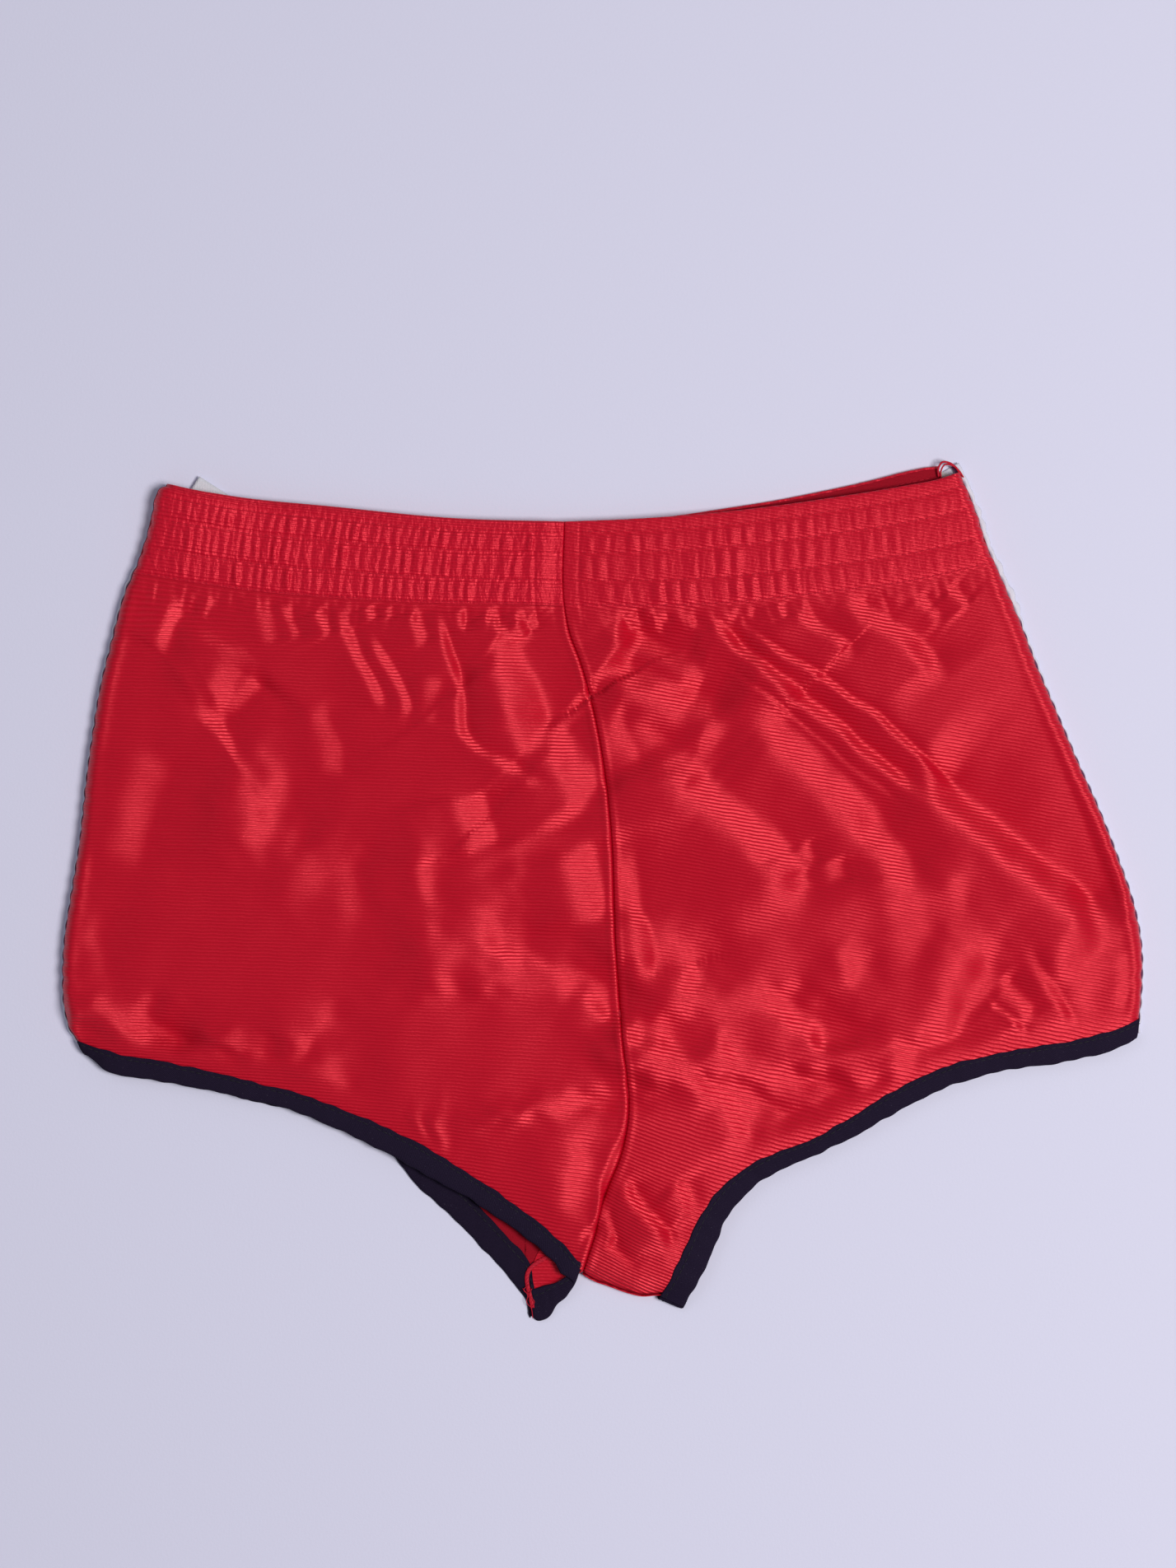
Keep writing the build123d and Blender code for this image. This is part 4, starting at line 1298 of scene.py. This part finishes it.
def care_label():
    """The care label: a ribbon sewn at one end, whose free end curls up a little."""
    rows, columns = 41, 15
    vertices = []
    for along in np.linspace(0, LABEL_LENGTH, rows):
        far = along / LABEL_LENGTH
        for across in np.linspace(-LABEL_HALF_WIDTH, LABEL_HALF_WIDTH, columns):
            plan = LABEL_SEWN - LABEL_WAY * along + LABEL_LEFT * across
            lift = 2.05 + 0.9 * hump(along, 9)
            curled = 0.08 * math.sin(along / 5.5) + 0.15 * (across / LABEL_HALF_WIDTH) ** 2
            vertices.append((*plan, lift + curled * far))
    faces = grid_faces(rows, columns)
    piece = make_piece("care_label_ribbon", vertices, faces, LABEL, "care_label", body=LABEL_BODY)
    thicken(piece, LABEL_CLOTH, 1.0)
    across = np.linspace(-10.4, 10.4, 30)[:, None]
    path = with_height(LABEL_SEWN - LABEL_WAY * 0.7 + LABEL_LEFT * across, 2.75)
    stitches = stitched(path, np.repeat(UP, len(path), axis=0), pitch=2.3, length=1.8, radius=0.22, seed=3)
    threads = make_piece("care_label_stitches", *stitches, WHITE_THREAD, "care_label_stitching")


right_tree = front_panel("front_right_panel_cloth", "front_right_panel", False, DETAIL, BODY_ROWS)
left_tree = front_panel("front_left_panel_cloth", "front_left_panel", True, DETAIL, BODY_ROWS)
fronts = [right_tree, left_tree]
backs = [
    back_panel(f"back_{word}_panel_cloth", f"back_{word}_panel", word == "left", DETAIL // 2, BODY_ROWS // 2)
    for word in ("right", "left")
]

# how far the rims bulge out, at heights up the garment
RIGHT_BULGES = [(168, 0.5), (138, 0.5), (133, 1.3), (110, 1.1), (90, 0.8), (-40, 0.7), (-58, 1.2)]
LEFT_BULGES = [(175, 2.1), (143, 2.0), (133, 2.4), (122, 2.6), (110, 1.3), (60, 0.8), (-44, 0.8), (-58, 1.4)]
side_stripe("right_stripe_tape", "right_side_stripe", RIGHT_SIDE, -1, RIGHT_BULGES, DETAIL)
side_stripe("left_stripe_tape", "left_side_stripe", [(145.9, 177.4)] + LEFT_SIDE, 1, LEFT_BULGES, DETAIL)

leg_edges = {"right": right_loop(right_tree), "left": left_loop(left_tree)}
for number, (word, edges) in enumerate(leg_edges.items()):
    binding(f"{word}_leg_tape", f"{word}_leg_binding", *edges, 5 + number)
for number, (word, edges) in enumerate(leg_edges.items()):
    binding_stitching(f"{word}_leg_stitches", f"{word}_binding_stitching", *edges, 7 + number)
for number, share in enumerate(ROWS, 1):
    waist_row(f"waist_stitches_{number}", f"waist_stitch_row_{number}", share, fronts, backs, 30 + 3 * number)
waist_elastic()
care_label()

centre = spread(CENTRE_FRONT[2:], 60)
overlocked("centre_front_seam_allowance", "centre_front_overlock", centre,
           smoothed(nearest_height(fronts, centre), 2) - CLOTH - 0.7, width=5.6, seed=50)
centre = spread(CENTRE_BACK[1:], 60) - (0, 1.5)
overlocked("centre_back_seam_allowance", "centre_back_overlock", centre,
           smoothed(back_height(centre), 2) + 0.35, width=5.6, seed=51)
LOOSE_LOOPS = [
    [(-33.2, -163.8, 2.4), (-31.0, -166.8, 2.8), (-31.4, -169.6, 2.6), (-29.4, -171.6, 2.3),
     (-28.2, -169.4, 2.2), (-30.0, -167.6, 2.4), (-29.2, -173.6, 2.1), (-28.9, -176.6, 1.9)],
    [(-30.4, -162.2, 2.2), (-32.6, -164.6, 2.6), (-30.6, -166.0, 2.7), (-29.2, -164.0, 2.2)],
]
overlocked("right_inseam_seam_allowance", "right_inseam_overlock", INSEAM_RIGHT, (1.9, 1.8, 1.0, 1.0),
           width=1.9, seed=52, extra=[tube(spread(loop, 40), 0.15) for loop in LOOSE_LOOPS])
overlocked("left_inseam_seam_allowance", "left_inseam_overlock", INSEAM_LEFT, (1.2, 1.3, 1.4),
           width=2.6, seed=53)
# the curl of thread at the left end of the waist
CURL = np.array([(139.2, 172.2, 4.2), (139.0, 175.8, 4.8), (140.6, 178.4, 5.0), (143.4, 178.2, 4.6),
                 (146.2, 176.4, 3.8), (148.6, 173.2, 2.8)])
curls = [tube(spread(CURL, 30), 0.45), tube(spread(CURL + (1.1, -1.0, -0.3), 30), 0.35)]
for word, side, turn, extra in (("right", RIGHT_SIDE, 1, ()), ("left", LEFT_SIDE, -1, curls)):
    overlocked(f"{word}_front_side_seam_allowance", f"{word}_front_side_overlock",
               beside(side, turn * 3.2)[70:-8:6], (2.3, 2.3), width=2.6, seed=54 + turn, extra=extra)
    overlocked(f"{word}_back_side_seam_allowance", f"{word}_back_side_overlock",
               beside(side, turn * 9.6)[70:-12:6], (1.5, 1.5), width=4.6, seed=57 + turn)


# ---- light, floor and camera -------------------------------------------------------------------
def lamp(name, place, size, power, color):
    """A round lamp that faces the middle of the object."""
    light = bpy.data.lights.new(name, "AREA")
    light.shape = "DISK"
    light.size = size
    light.energy = power
    light.color = color
    holder = new_object(name, light)
    holder.location = place
    holder.rotation_euler = Vector(place).to_track_quat("Z", "Y").to_euler()


def studio():
    world = bpy.data.worlds.new("studio")
    bpy.context.scene.world = world
    world.use_nodes = True
    background = world.node_tree.nodes["Background"]
    background.inputs["Color"].default_value = (0.86, 0.88, 1.0, 1)
    background.inputs["Strength"].default_value = 0.2
    lamp("key_light", (1.21, -0.17, 2.30), size=1.0, power=54, color=(1.0, 0.985, 0.97))
    lamp("fill_light", (-1.3, 1.2, 1.9), size=1.4, power=4, color=(0.92, 0.94, 1.0))
    bpy.context.scene.view_settings.view_transform = "Standard"


def sheet_floor():
    m = Nodes("pale_sheet", (0.715, 0.705, 0.86), 0.85)
    m.bump(m.noise(m.place(), (900, 900, 900)), 0.05)
    mesh = bpy.data.meshes.new("sheet_floor")
    half = 4.0
    corners = [(-half, -half, 0), (half, -half, 0), (half, half, 0), (-half, half, 0)]
    mesh.from_pydata(corners, [], [(0, 1, 2, 3)])
    mesh.materials.append(m.material)
    floor = new_object("sheet_floor", mesh)


def camera():
    """Looks straight down from far enough that the frame is frame_width metres wide."""
    lens = bpy.data.cameras.new("camera")
    lens.sensor_fit = "HORIZONTAL"
    lens.sensor_width = 36
    distance = 1.6
    frame_width = 0.4855
    lens.lens = lens.sensor_width * distance / frame_width
    holder = new_object("camera", lens)
    holder.location = (-0.006, 0.0452, distance + FRONT_LEVEL * MM)
    bpy.context.scene.camera = holder


studio()
sheet_floor()
camera()
